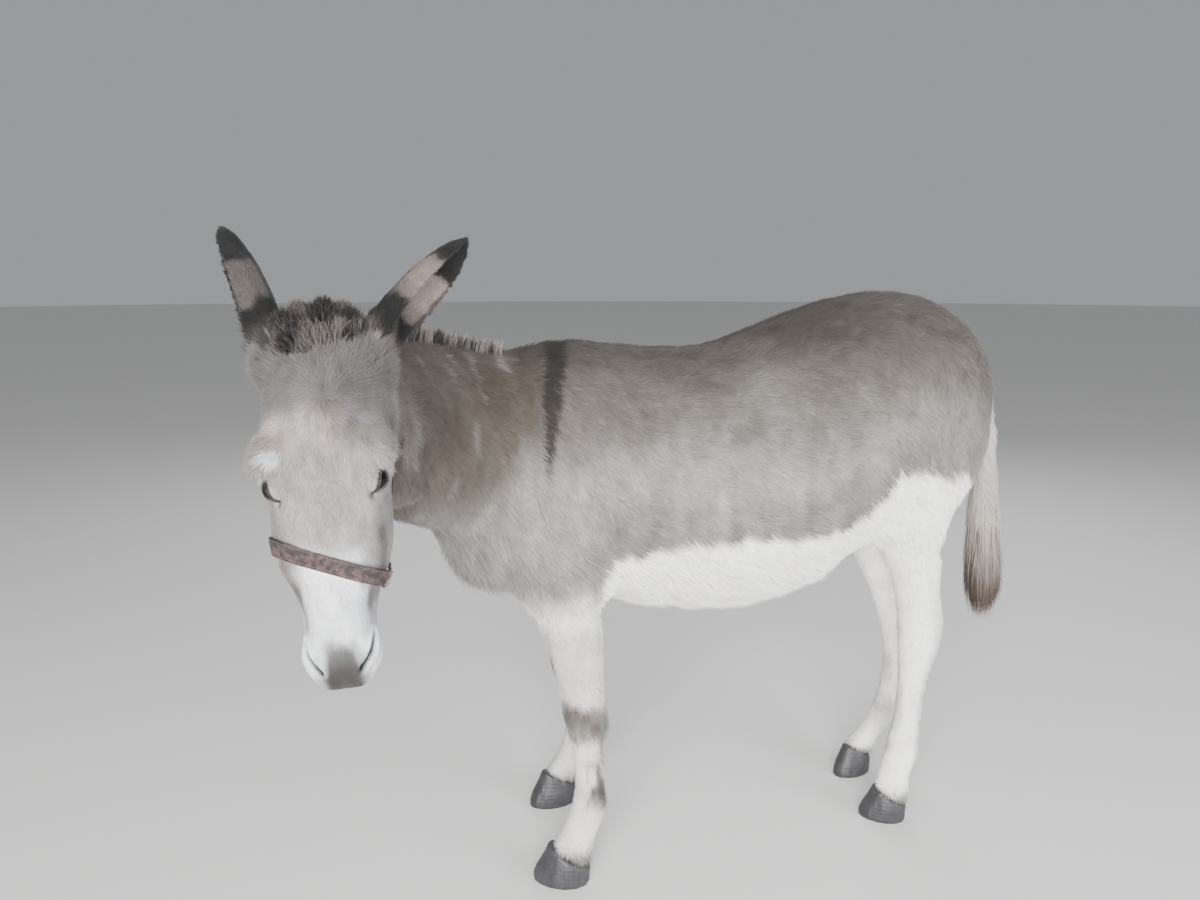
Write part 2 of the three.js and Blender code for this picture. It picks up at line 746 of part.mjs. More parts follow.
// Outline of the mane across the crest: [across, up].
const MANE_PROFILE = [
  [-13, MANE_FOOT],
  [-11, 8],
  [-5, MANE_HEIGHT],
  [5, MANE_HEIGHT],
  [11, 8],
  [13, MANE_FOOT],
];
const MANE_BEHIND = -80; // how far behind the face's axis it stops, clear of the crown strap

function maneSolid() {
  const sections = [];
  for (let i = 0; i <= MANE_PARTS; i += 1) {
    const { at, side } = spineFrame(THREE.MathUtils.lerp(MANE_FROM, MANE_TO, i / MANE_PARTS));
    const crest = at.clone().addScaledVector(UP, castOut(torsoForm, at, UP, SPINE_REACH, 0));
    const nearEnd = Math.min(i, 1.2 * (MANE_PARTS - i) + 1.5) / 2.5;
    const rise = Math.min(0.35 + 0.65 * nearEnd, 1);
    sections.push(MANE_PROFILE.map(([across, up]) => {
      const foot = crest.clone().addScaledVector(side, across);
      return foot.addScaledVector(UP, up > 0 ? up * rise : up);
    }));
  }
  const behind = halfSpace(headPoint(0, 0, MANE_BEHIND), headFace.clone().negate());
  return loft(sections).intersect(behind);
}

// The forelock lies over the poll and down the forehead: [along the head, half width, rise].
const FORELOCK = [
  [-21, 30, 10],
  [-12, 46, 25],
  [6, 50, 28],
  [28, 44, 20],
  [52, 32, 11],
  [74, 12, 5],
];
const FORELOCK_RAYS = 10;
const FORELOCK_DEPTH = 24; // how far it reaches into the head before it is trimmed to it

function forelockSolid() {
  const sections = FORELOCK.map(([s, half, rise]) => {
    const [, face] = station(FACE, s);
    const seat = face - 4 - (half * half) / 260;
    const points = [];
    for (let k = 0; k < FORELOCK_RAYS; k += 1) {
      const angle = (k / FORELOCK_RAYS) * Math.PI * 2;
      const up = Math.sin(angle) * (Math.sin(angle) > 0 ? rise : FORELOCK_DEPTH);
      points.push(headPoint(s, Math.cos(angle) * half, seat + up));
    }
    return points;
  });
  return loft(sections);
}

// ---- Halter ----------------------------------------------------------------------------
const NOSE_AT = 338; // place of the noseband along the head
const NOSE_BAND = 24;
const CHEEK_BAND = 20;
const RING_RADIUS = 15;
const RING_WIRE = 2.6;
const RING_PARTS = [5, 12]; // facets round the wire and round the ring
const RING_LIFT = 3.2;
const RING_ANGLE = 108; // degrees round the nose from the middle of the face
const RING_ROOM = 17; // degrees kept free beside a ring
const SKEW = THREE.MathUtils.degToRad(22); // how far the noseband hangs askew
// Where the headstall turns over the poll: along the head and out of its face.
const CROWN_AT = [76, -66];
const CROWN_TURN = 88; // degrees the headstall runs down each side of the poll's top
const CHEEK_PARTS = 8;
const CROWN_PARTS = 12;
const NOSE_PARTS = 13;
const CHIN_PARTS = 10;
const CHEEK_SLACK = 4; // how far a cheek strap stands off halfway up
const CHIN_SLACK = 4;
const CROWN_SLACK = 3;
const STRAP_REACH = 320;

// A flat strap over `form`: each stop is a ray from `from` along `way`, `edge` is half its width.
function strapSolid(form, stops) {
  const sections = stops.map(({ from, way, edge, lift }) => {
    const seats = [-1, 1].map((sign) => {
      const start = from.clone().addScaledVector(edge, sign);
      const out = castOut(form, start, way, STRAP_REACH, 0);
      return start.addScaledVector(way, out + STRAP_CLEARANCE + lift);
    });
    const [low, high] = seats;
    const outLow = low.clone().addScaledVector(way, STRAP_THICKNESS);
    const outHigh = high.clone().addScaledVector(way, STRAP_THICKNESS);
    return [low, outLow, outHigh, high];
  });
  return loft(sections);
}

const skewLeft = headLeft.clone().multiplyScalar(Math.cos(SKEW));
skewLeft.addScaledVector(headDown, Math.sin(SKEW));
const skewDown = headDown.clone().multiplyScalar(Math.cos(SKEW));
skewDown.addScaledVector(headLeft, -Math.sin(SKEW));
const noseCentre = headPoint(NOSE_AT, 0, -8);

// The way out of the nose's middle, a number of degrees round from the face by the left cheek.
function noseWay(degrees) {
  const angle = THREE.MathUtils.degToRad(degrees);
  return headFace.clone().multiplyScalar(Math.cos(angle)).addScaledVector(skewLeft, Math.sin(angle));
}

function noseStops(fromDegrees, toDegrees, parts, width, lift) {
  const edge = skewDown.clone().multiplyScalar(width / 2);
  const stops = [];
  for (let i = 0; i <= parts; i += 1) {
    const way = noseWay(THREE.MathUtils.lerp(fromDegrees, toDegrees, i / parts));
    stops.push({ from: noseCentre, way, edge, lift });
  }
  return stops;
}

// The direction square to a form's surface at a point.
function surfaceNormal(form, p) {
  const reach = 4;
  const slope = ['x', 'y', 'z'].map((axis) => {
    const ahead = p.clone();
    const behind = p.clone();
    ahead[axis] += reach;
    behind[axis] -= reach;
    return form(ahead) - form(behind);
  });
  return new THREE.Vector3(...slope).normalize();
}

function ringPlace(side) {
  const way = noseWay(side * RING_ANGLE);
  const at = noseCentre.clone().addScaledVector(way, castOut(headForm, noseCentre, way, STRAP_REACH, 0));
  const normal = surfaceNormal(headForm, at);
  return { at: at.addScaledVector(normal, RING_WIRE + RING_LIFT), normal };
}

function ringGeometry(side) {
  const { at, normal } = ringPlace(side);
  const ring = new THREE.TorusGeometry(RING_RADIUS, RING_WIRE, ...RING_PARTS);
  ring.applyQuaternion(new THREE.Quaternion().setFromUnitVectors(UP, normal));
  ring.translate(at.x, at.y, at.z);
  return ring;
}

// A cheek strap climbs from its ring, past the jaw muscle, to the place under the ear.
function cheekStops(side) {
  const ring = headAxes(ringPlace(side).at);
  const low = ring.s - RING_RADIUS - RING_WIRE - 2;
  const way = headLeft.clone().multiplyScalar(side);
  const edge = headFace.clone().multiplyScalar(CHEEK_BAND / 2);
  const stops = [];
  for (let i = 0; i < CHEEK_PARTS; i += 1) {
    const t = i / CHEEK_PARTS;
    const s = THREE.MathUtils.lerp(low, CROWN_AT[0], t);
    const v = THREE.MathUtils.lerp(ring.v - 4, CROWN_AT[1], THREE.MathUtils.smoothstep(t, 0, 0.9));
    stops.push({ from: headPoint(s, 0, v), way, edge, lift: CHEEK_SLACK * Math.sin(t * Math.PI) });
  }
  return stops;
}

// Stops over the poll, in degrees from its top round by the left.
function crownStops(fromDegrees, toDegrees, parts) {
  const centre = headPoint(CROWN_AT[0], 0, CROWN_AT[1]);
  const edge = headFace.clone().multiplyScalar(CHEEK_BAND / 2);
  const stops = [];
  for (let i = 0; i <= parts; i += 1) {
    const t = i / parts;
    const angle = THREE.MathUtils.degToRad(THREE.MathUtils.lerp(fromDegrees, toDegrees, t));
    const way = headDown.clone().multiplyScalar(-Math.cos(angle));
    way.addScaledVector(headLeft, Math.sin(angle));
    stops.push({ from: centre, way, edge, lift: CROWN_SLACK * Math.sin(t * Math.PI) });
  }
  return stops;
}

function headstallSolid() {
  const crown = crownStops(CROWN_TURN, -CROWN_TURN, CROWN_PARTS);
  return strapSolid(fleshForm, [...cheekStops(1), ...crown, ...cheekStops(-1).reverse()]);
}

// ---- The donkey ------------------------------------------------------------------------
const donkey = new THREE.Group();

const COAT = { color: 0xa39b96, roughness: 0.9, metalness: 0 };
const PALE = { color: 0xd8d4cf, roughness: 0.9, metalness: 0 };
const HAIR = { color: 0x6e625c, roughness: 0.9, metalness: 0 };
const HORN = { color: 0x4a4a4c, roughness: 0.55, metalness: 0 };
const STRAP = { color: 0x5a453d, roughness: 0.85, metalness: 0 };
const METAL = { color: 0x77716a, roughness: 0.45, metalness: 0.9 };
const EYE = { color: 0x14100e, roughness: 0.15, metalness: 0 };

function add(name, geometry, finish) {
  const mesh = new THREE.Mesh(geometry, new THREE.MeshStandardMaterial(finish));
  mesh.name = name;
  donkey.add(mesh);
}

function addHead() {
  let head = headSolid(0).intersect(sideOf(headCut, headWay, 1));
  for (const side of [-1, 1]) head = head.subtract(solid(eyeGeometry(side, EYE_RADIUS + GAP)));
  add('head', geometryOf(head), PALE);
  add('eye_left', eyeGeometry(1, EYE_RADIUS), EYE);
  add('eye_right', eyeGeometry(-1, EYE_RADIUS), EYE);
}

// What grows from the head and back is trimmed to them with a gap.
function addTrimmed(headSocket, torsoSocket) {
  const trimmed = (piece) => geometryOf(piece.subtract(headSocket).subtract(torsoSocket));
  add('ear_left', trimmed(earSolid(1)), COAT);
  add('ear_right', trimmed(earSolid(-1)), COAT);
  add('forelock', trimmed(forelockSolid()), HAIR);
  add('mane', trimmed(maneSolid()), HAIR);
  add('tail', geometryOf(tailSolid(0, TAIL_PARTING, 0).subtract(torsoSocket)), COAT);
  add('tail_switch', geometryOf(tailSolid(TAIL_PARTING, TAIL.length - 1, GAP)), PALE);
}

function addHalter(headSocket, torsoSocket) {
  const free = RING_ANGLE - RING_ROOM;
  const noseband = strapSolid(headForm, noseStops(-free, free, NOSE_PARTS, NOSE_BAND, 0));
  const under = RING_ANGLE + RING_ROOM;
  const chinStops = noseStops(under, 360 - under, CHIN_PARTS, CHEEK_BAND, CHIN_SLACK);
  const chinband = strapSolid(headForm, chinStops);
  add('halter_noseband', geometryOf(noseband), STRAP);
  add('halter_chinband', geometryOf(chinband), STRAP);
  const headstall = headstallSolid().subtract(headSocket).subtract(torsoSocket);
  add('halter_headstall', geometryOf(headstall), STRAP);
  add('halter_ring_left', ringGeometry(1), METAL);
  add('halter_ring_right', ringGeometry(-1), METAL);
}

function addLegs() {
  for (const leg of LEGS) {
    add(leg.name, geometryOf(legSolid(leg)), PALE);
    add(leg.name.replace('leg', 'hoof'), geometryOf(hoofSolid(leg)), HORN);
  }
}

add('trunk', geometryOf(trunk), COAT);
add('neck', geometryOf(neck), COAT);
addHead();
const sockets = [headSolid(GAP), torsoSolid(GAP)];
addTrimmed(...sockets);
addHalter(...sockets);
addLegs();

// The origin is on the floor, under the middle of the whole donkey.
const middle = new THREE.Box3().setFromObject(donkey).getCenter(new THREE.Vector3());
donkey.position.set(-middle.x, -middle.y, 0);

export default donkey;
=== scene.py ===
import math

import bmesh
import bpy
import numpy as np
from mathutils import Matrix, Vector
from mathutils.bvhtree import BVHTree


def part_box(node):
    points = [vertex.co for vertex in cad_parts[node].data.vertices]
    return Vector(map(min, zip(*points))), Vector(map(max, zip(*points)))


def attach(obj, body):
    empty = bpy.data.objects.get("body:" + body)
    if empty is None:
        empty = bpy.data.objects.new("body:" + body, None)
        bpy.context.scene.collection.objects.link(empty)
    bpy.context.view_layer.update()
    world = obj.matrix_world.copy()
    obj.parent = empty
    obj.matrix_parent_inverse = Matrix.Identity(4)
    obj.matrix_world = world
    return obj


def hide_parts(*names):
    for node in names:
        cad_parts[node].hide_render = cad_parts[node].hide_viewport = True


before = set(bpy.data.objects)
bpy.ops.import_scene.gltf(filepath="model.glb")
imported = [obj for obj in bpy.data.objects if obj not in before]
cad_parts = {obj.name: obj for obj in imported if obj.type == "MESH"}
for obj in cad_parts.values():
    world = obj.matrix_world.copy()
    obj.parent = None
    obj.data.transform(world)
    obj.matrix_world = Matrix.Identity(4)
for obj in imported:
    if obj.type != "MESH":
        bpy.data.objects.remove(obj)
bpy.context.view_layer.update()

# A life-size donkey, in metres. +Z is up, it faces -X and its left side is -Y.

# ---- Places that everything is measured from -------------------------------------------
# The head's axes: s runs from poll to lips, u to the donkey's left, v out of the face.
HEAD_TILT = math.radians(15.5)
FACE_TURN = math.radians(-4.8)
HEAD_ROLL = math.radians(3.6)
EYE_PLACE = (0.225, 0.064, 0.041)
WITHERS_TO_POLL = Vector((-0.437, -0.462, 1.170))


def centre_of(node):
    low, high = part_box(node)
    return (low + high) / 2


face_way = Vector((0, -math.cos(HEAD_TILT), math.sin(HEAD_TILT)))
down_way = Vector((0, -math.sin(HEAD_TILT), -math.cos(HEAD_TILT)))
turn = Matrix.Rotation(FACE_TURN, 3, "Z")
face_way = turn @ face_way
down_way = Matrix.Rotation(HEAD_ROLL, 3, face_way) @ (turn @ down_way)
left_way = face_way.cross(down_way)
eyes_middle = (centre_of("eye_left") + centre_of("eye_right")) / 2
poll = eyes_middle - down_way * EYE_PLACE[0] - face_way * EYE_PLACE[2]
# The floor under the withers, which the body's own measures start from.
WITHERS = np.array(poll - WITHERS_TO_POLL)
HEAD_BASIS = np.array([down_way, left_way, face_way])


def head_point(s, u, v):
    return poll + down_way * s + left_way * u + face_way * v


def head_axes(points):
    return (points - np.array(poll)) @ HEAD_BASIS.T


# ---- Camera, light and floor -----------------------------------------------------------
CAMERA_FROM_WITHERS = Vector((-0.360, -1.868, 1.250))
CAMERA_PITCH = math.radians(10.8)
CAMERA_TURN = math.radians(13.7)
FOCAL_SHARE = 930 / 1200  # focal length over the frame's width
SENSOR = 36


def make_camera():
    data = bpy.data.cameras.new("camera")
    data.sensor_width = SENSOR
    data.lens = SENSOR * FOCAL_SHARE
    camera = bpy.data.objects.new("camera", data)
    bpy.context.scene.collection.objects.link(camera)
    level = Vector((math.sin(CAMERA_TURN), math.cos(CAMERA_TURN), 0))
    ahead = level * math.cos(CAMERA_PITCH) - Vector((0, 0, 1)) * math.sin(CAMERA_PITCH)
    right = Vector((math.cos(CAMERA_TURN), -math.sin(CAMERA_TURN), 0))
    camera.matrix_world = Matrix.Translation(Vector(WITHERS) + CAMERA_FROM_WITHERS) @ Matrix(
        (right, right.cross(ahead), -ahead)).transposed().to_4x4()
    bpy.context.scene.camera = camera


# Each lamp: name, place, the height it points at over the floor's middle, size, power, colour.
LAMPS = [("key_light", (-1.7, -4.0, 1.5), 0.75, 3.2, 640, (1.0, 0.99, 0.975)),
         ("fill_light", (2.7, -3.5, 1.3), 0.70, 3.0, 230, (0.96, 0.98, 1.0)),
         ("back_light", (1.2, 3.6, 3.0), 0.80, 3.0, 90, (0.97, 0.98, 1.0))]
SKY_COLOUR, SKY_STRENGTH = (0.84, 0.86, 0.88, 1), 0.42
FLOOR_RADIUS, FLOOR_COLOUR, FLOOR_ROUGHNESS = 40, (0.74, 0.73, 0.72), 0.9


def make_light(name, place, aim_height, size, power, colour):
    data = bpy.data.lights.new(name, "AREA")
    data.shape = "DISK"
    data.size = size
    data.energy = power
    data.color = colour
    light = bpy.data.objects.new(name, data)
    light.location = place
    light.rotation_mode = "QUATERNION"
    light.rotation_quaternion = (Vector((0, 0, aim_height)) - Vector(place)).to_track_quat("-Z", "Y")
    bpy.context.scene.collection.objects.link(light)


def make_studio():
    for lamp in LAMPS:
        make_light(*lamp)
    world = bpy.data.worlds.new("studio")
    world.use_nodes = True
    sky = world.node_tree.nodes["Background"]
    sky.inputs["Color"].default_value = SKY_COLOUR
    sky.inputs["Strength"].default_value = SKY_STRENGTH
    bpy.context.scene.world = world
    bm = bmesh.new()
    bmesh.ops.create_circle(bm, cap_ends=True, segments=96, radius=FLOOR_RADIUS)
    finish = Finish("floor_finish", FLOOR_COLOUR, FLOOR_ROUGHNESS)
    finish_piece("floor", bm, finish.material, None)


# ---- Small tools -----------------------------------------------------------------------
def smooth(x, low, high):
    """Rises softly from 0 to 1 between low and high."""
    t = np.clip((x - low) / (high - low), 0, 1)
    return t * t * (3 - 2 * t)


def fade(x, low, high):
    """Falls softly from 1 to 0 between low and high."""
    return 1 - smooth(x, low, high)


def bell(x, middle, width):
    """1 at the middle, falling to nothing on both sides."""
    return np.exp(-((x - middle) / width) ** 2)


def blend(first, second, share):
    return first + (second - first) * share[:, None]


def unit(v):
    return v / np.maximum(np.linalg.norm(v, axis=1), 1e-9)[:, None]


def same(value, places):
    """One colour or direction for every place."""
    return np.tile(value, (len(places), 1))


class Value:
    """A shader socket that can be reckoned with."""

    def __init__(self, finish, socket):
        self.finish, self.socket = finish, socket

    def maths(self, operation, *values):
        return self.finish.node("ShaderNodeMath", {"operation": operation}, dict(enumerate(values)))

    def __add__(self, other):
        return self.maths("ADD", self, other)

    def __sub__(self, other):
        return self.maths("SUBTRACT", self, other)

    def __rsub__(self, other):
        return self.maths("SUBTRACT", other, self)

    def __mul__(self, other):
        return self.maths("MULTIPLY", self, other)

    def __pow__(self, other):
        return self.maths("POWER", self, other)

    def __lt__(self, other):
        return self.maths("LESS_THAN", self, other)

    def __gt__(self, other):
        return self.maths("GREATER_THAN", self, other)

    def __abs__(self):
        return self.maths("ABSOLUTE", self)

    __radd__ = __add__
    __rmul__ = __mul__

    def sine(self):
        return self.maths("SINE", self)

    def held(self):
        """Kept between 0 and 1."""
        over = self.maths("MAXIMUM", self, 0)
        return over.maths("MINIMUM", over, 1)


class Finish:
    """A material, with short ways to make its nodes."""

    def __init__(self, name, colour, roughness, **values):
        self.material = bpy.data.materials.new(name)
        self.material.use_nodes = True
        self.tree = self.material.node_tree
        self.shader = self.tree.nodes["Principled BSDF"]
        self.put({"Base Color": colour, "Roughness": roughness, **values})

    def put(self, values, node=None):
        for key, value in values.items():
            socket = (node or self.shader).inputs[key]
            if isinstance(value, Value):
                self.tree.links.new(value.socket, socket)
            elif isinstance(value, tuple) and len(socket.default_value) == 4:
                socket.default_value = (*value, 1)
            else:
                socket.default_value = value

    def node(self, kind, settings=None, values=None, output=0):
        node = self.tree.nodes.new(kind)
        for key, value in (settings or {}).items():
            setattr(node, key, value)
        self.put(values or {}, node)
        return Value(self, node.outputs[output])

    def places(self):
        return self.node("ShaderNodeTexCoord", output="Object")

    def stretched(self, scale):
        return self.node("ShaderNodeMapping", None, {"Vector": self.places(), "Scale": scale})

    def attribute(self, name, output="Fac"):
        return self.node("ShaderNodeAttribute", {"attribute_name": name}, output=output)

    def noise(self, vector, scale, detail=2.0):
        return self.node("ShaderNodeTexNoise", None, {"Vector": vector, "Scale": scale, "Detail": detail})

    def bump(self, height, strength, distance):
        normal = self.node("ShaderNodeBump", None,
                           {"Height": height, "Strength": strength, "Distance": distance})
        self.put({"Normal": normal})

    def shaded(self, colour, share):
        """The colour, lighter or darker by a share."""
        return self.node("ShaderNodeVectorMath", {"operation": "SCALE"}, {0: colour, "Scale": share})

    def mixed(self, share, first, second):
        return self.node("ShaderNodeMix", {"data_type": "RGBA"}, {0: share, 6: first, 7: second}, output=2)


def finish_piece(name, shape, material, slot, replaced=()):
    """Makes an object of a bmesh or mesh with its material, hung under the root body when a slot is named."""
    if isinstance(shape, bmesh.types.BMesh):
        mesh = bpy.data.meshes.new(name)
        shape.to_mesh(mesh)
        shape.free()
    else:
        mesh = shape
    mesh.name = name
    piece = bpy.data.objects.new(name, mesh)
    bpy.context.scene.collection.objects.link(piece)
    mesh.materials.clear()
    mesh.materials.append(material)
    mesh.shade_smooth()
    if slot:
        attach(piece, "root")
    if replaced:
        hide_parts(*replaced)
    return piece


def read(items, key, width, kind=np.float32):
    """One value of every vertex, edge or triangle, as rows."""
    values = np.empty(len(items) * width, kind)
    items.foreach_get(key, values)
    return values.reshape(-1, width)


def vertices_of(mesh):
    return read(mesh.vertices, "co", 3).astype(float)


def normals_of(mesh):
    return read(mesh.vertices, "normal", 3).astype(float)


def edges_of(mesh):
    return read(mesh.edges, "vertices", 2, np.int32)


def put_vertices(mesh, co):
    mesh.vertices.foreach_set("co", co.astype(np.float32).ravel())
    mesh.update()


def put_tint(mesh, colour):
    """Gives each vertex its own colour, which the finishes read."""
    tint = np.ones((len(colour), 4), np.float32)
    tint[:, :3] = colour
    mesh.attributes.new("tint", "FLOAT_COLOR", "POINT").data.foreach_set("color", tint.ravel())


def put_lengths(mesh, **lengths):
    """Gives each vertex its place along and across a strap."""
    for name, values in lengths.items():
        mesh.attributes.new(name, "FLOAT", "POINT").data.foreach_set("value", values.astype(np.float32))


def tree_of(mesh):
    return BVHTree.FromPolygons([v.co for v in mesh.vertices], [list(f.vertices) for f in mesh.polygons])


class Spread:
    """Averages values over a mesh's neighbouring vertices."""

    def __init__(self, mesh):
        self.a, self.b = edges_of(mesh).T
        self.count = len(mesh.vertices)
        self.degree = np.maximum(np.bincount(self.a, minlength=self.count)
                                 + np.bincount(self.b, minlength=self.count), 1)

    def average(self, values):
        flat = values.reshape(self.count, -1)
        out = np.empty_like(flat, dtype=float)
        for k in range(flat.shape[1]):
            column = flat[:, k]
            out[:, k] = (np.bincount(self.a, weights=column[self.b], minlength=self.count)
                         + np.bincount(self.b, weights=column[self.a], minlength=self.count))
        return (out / self.degree[:, None]).reshape(values.shape)

    def relax(self, values, rounds, share=0.5):
        for _ in range(rounds):
            values = values + (self.average(values) - values) * share
        return values


# ---- Skin ------------------------------------------------------------------------------
FLESH = ["trunk", "neck", "head", "ear_left", "ear_right", "tail",
         "foreleg_left", "foreleg_right", "hindleg_left", "hindleg_right"]
TRUNK, HEAD = FLESH.index("trunk"), FLESH.index("head")
EARS = [FLESH.index("ear_left"), FLESH.index("ear_right")]
VOXEL = 0.0042
WELD = 0.0009  # each flesh node grows by this, so that the cuts between them close
EAR_WELD = 0.0022  # thin ears need walls the remesh can hold


def merged_copy(node):
    bm = bmesh.new()
    bm.from_mesh(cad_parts[node].data)
    bmesh.ops.remove_doubles(bm, verts=bm.verts, dist=1e-6)
    return bm


def joined_flesh():
    joined = bmesh.new()
    for node in FLESH:
        bm = merged_copy(node)
        bm.normal_update()
        for vert in bm.verts:
            vert.co += vert.normal * (EAR_WELD if "ear_" in node else WELD)
        mesh = bpy.data.meshes.new("flesh")
        bm.to_mesh(mesh)
        bm.free()
        joined.from_mesh(mesh)
        bpy.data.meshes.remove(mesh)
    return joined


def remeshed(bm, voxel):
    mesh = bpy.data.meshes.new("remesh")
    bm.to_mesh(mesh)
    bm.free()
    piece = bpy.data.objects.new("remesh", mesh)
    bpy.context.scene.collection.objects.link(piece)
    modifier = piece.modifiers.new("remesh", "REMESH")
    modifier.mode = "VOXEL"
    modifier.voxel_size = voxel
    result = bpy.data.meshes.new_from_object(piece.evaluated_get(bpy.context.evaluated_depsgraph_get()))
    bpy.data.objects.remove(piece)
    bpy.data.meshes.remove(mesh)
    return result


def node_tree():
    """A search tree over the flesh nodes, with the node of each face."""
    points, faces, owner = [], [], []
    for index, node in enumerate(FLESH):
        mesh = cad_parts[node].data
        base = len(points)
        points.extend(v.co.copy() for v in mesh.vertices)
        for face in mesh.polygons:
            faces.append([base + k for k in face.vertices])
            owner.append(index)
    return BVHTree.FromPolygons(points, faces), np.array(owner)


def region_of(co):
    tree, owner = node_tree()
    hits = [tree.find_nearest(point)[2] for point in co.tolist()]
    return owner[np.array(hits)]


# Rounds of smoothing that take the CAD facets out, and the coat's depth over the skin.
SMOOTHING = {"trunk": 60, "neck": 46, "head": 13, "ear": 9, "tail": 16, "leg": 14}
LEG_TOP_ROUNDS = 46  # more where the legs run into the trunk
LEG_TOP = (0.47, 0.58)  # the heights between which that comes on
ROUND_SHARE = 0.60  # how far a vertex moves to its neighbours' middle in a round
EAR_SWELL = 0.62  # and back again on the ears, which keeps them from thinning
COAT_DEPTH = {"trunk": 0.0075, "neck": 0.0085, "head": 0.0045,
              "ear": 0.0016, "tail": 0.006, "leg": 0.0035}
MUZZLE_THINNING = 0.75  # the share of the coat's depth that goes toward the lips
FINE_REACHES = (0.020, 0.014)  # round the eyes, nostrils and mouth, faces are split once in each


def kind_of(node):
    for kind in SMOOTHING:
        if kind in node:
            return kind
    return "trunk"


def by_region(region, table):
    return np.array([table[kind_of(node)] for node in FLESH], float)[region]


class Line:
    """A bent line, with distances to it."""

    def __init__(self, points):
        self.points = np.array(points)

    def distance(self, places):
        best = np.full(len(places), 9.0)
        for a, b in zip(self.points[:-1], self.points[1:]):
            along = b - a
            t = np.clip((places - a) @ along / (along @ along), 0, 1)
            best = np.minimum(best, np.linalg.norm(places - a - t[:, None] * along, axis=1))
        return best


# Each nostril as places on the muzzle, rolled out flat: along the head and round it.
MUZZLE_RADIUS = 0.055
NOSTRIL = Line([(0.437, 0.0620), (0.446, 0.0560), (0.458, 0.0500), (0.471, 0.0430), (0.482, 0.0350)])
# The line between the lips, by how far along the head it is.
MOUTH_S = (0.432, 0.470, 0.495, 0.511)
MOUTH_V = (-0.030, -0.026, -0.018, -0.008)


FAR = 9.0  # a distance that counts as nowhere near


def nostril_distance(q):
    round_way = np.abs(np.arctan2(q[:, 1], q[:, 2])) * MUZZLE_RADIUS
    away = NOSTRIL.distance(np.stack([q[:, 0], round_way], 1))
    return np.where((q[:, 0] > 0.40) & (q[:, 2] > 0) & (np.abs(q[:, 1]) < 0.08), away, FAR)


def mouth_distance(q):
    away = np.abs(q[:, 2] - np.interp(q[:, 0], MOUTH_S, MOUTH_V))
    return np.where(q[:, 0] > MOUTH_S[0], away, FAR)


LID_EDGE = 0.0013  # half the thickness of a lid's wet edge
BALL_RADIUS = 0.0205
BALL_BACK = 0.0022  # how far the eyeball's middle lies behind the CAD ball's
LID_LENGTH = 0.0188  # half the eye's opening along the lids
LID_UP = 0.0076
LID_DOWN = 0.0074
LID_THICK = 0.0024
EYE_SIDEWAYS, EYE_FORWARD = 0.87, 0.50  # the way an eye looks, to its side and out of the face
LIDS_ALONG = (0.83, -0.50, 0.04)  # the way along the lids: down the head, sideways, forward
LID_CURVE = 1.8  # the opening's outline, between a lozenge and an oval


def eye_axes(side):
    """Centre of an eyeball, then the way it looks, the way along its lids and the way up."""
    s, u, v = EYE_PLACE
    look = (left_way * (side * EYE_SIDEWAYS) + face_way * EYE_FORWARD).normalized()
    down, sideways, forward = LIDS_ALONG
    along = down_way * down + left_way * (side * sideways) + face_way * forward
    along = (along - look * along.dot(look)).normalized()
    up = along.cross(look)
    if up.dot(face_way) < 0:
        up = -up
    return head_point(s, side * u, v) - look * BALL_BACK, look, along, up


def eye_frame(co, side):
    """Places across the eye: along the lids, up, out, and the gap to the opening's edge."""
    centre, look, along, up = eye_axes(side)
    offset = co - np.array(centre)
    a, b, h = offset @ np.array(along), offset @ np.array(up), offset @ np.array(look)
    half = np.where(b > 0, LID_UP, LID_DOWN)
    reach = np.clip(np.abs(a) / LID_LENGTH, 0, 1)
    edge = half * (1 - reach ** LID_CURVE)
    gap = np.where(np.abs(a) < LID_LENGTH, np.abs(b) - edge, np.hypot(np.abs(a) - LID_LENGTH, b))
    return a, b, h, gap


def open_eyes(co):
    """Pushes the skin behind the eyeballs between the lids, and folds the lids over them."""
    for side in (-1, 1):
        look = eye_axes(side)[1]
        a, b, h, gap = eye_frame(co, side)
        ball = np.sqrt(np.clip(BALL_RADIUS ** 2 - a * a - b * b, 0, None))
        lid = ball + LID_THICK
        crease = -0.0018 * bell(gap, 0.0080, 0.0016) * (b > 0)
        pouch = 0.0012 * bell(gap, 0.0080, 0.0035) * (b < 0)
        over = lid + np.maximum(h - lid, 0) * smooth(gap, 0.003, 0.014) + crease + pouch
        under = ball - 0.006
        target = under + (over - under) * smooth(gap, -0.0010, 0.0006)
        out = np.hypot(a, b)
        behind = (h < lid) & (gap > 0)
        share = np.where(behind, fade(out, 0.0185, 0.0225), fade(out, 0.026, 0.036)) * (h > -0.014)
        co = co + ((target - h) * share)[:, None] * np.array(look)
    return co


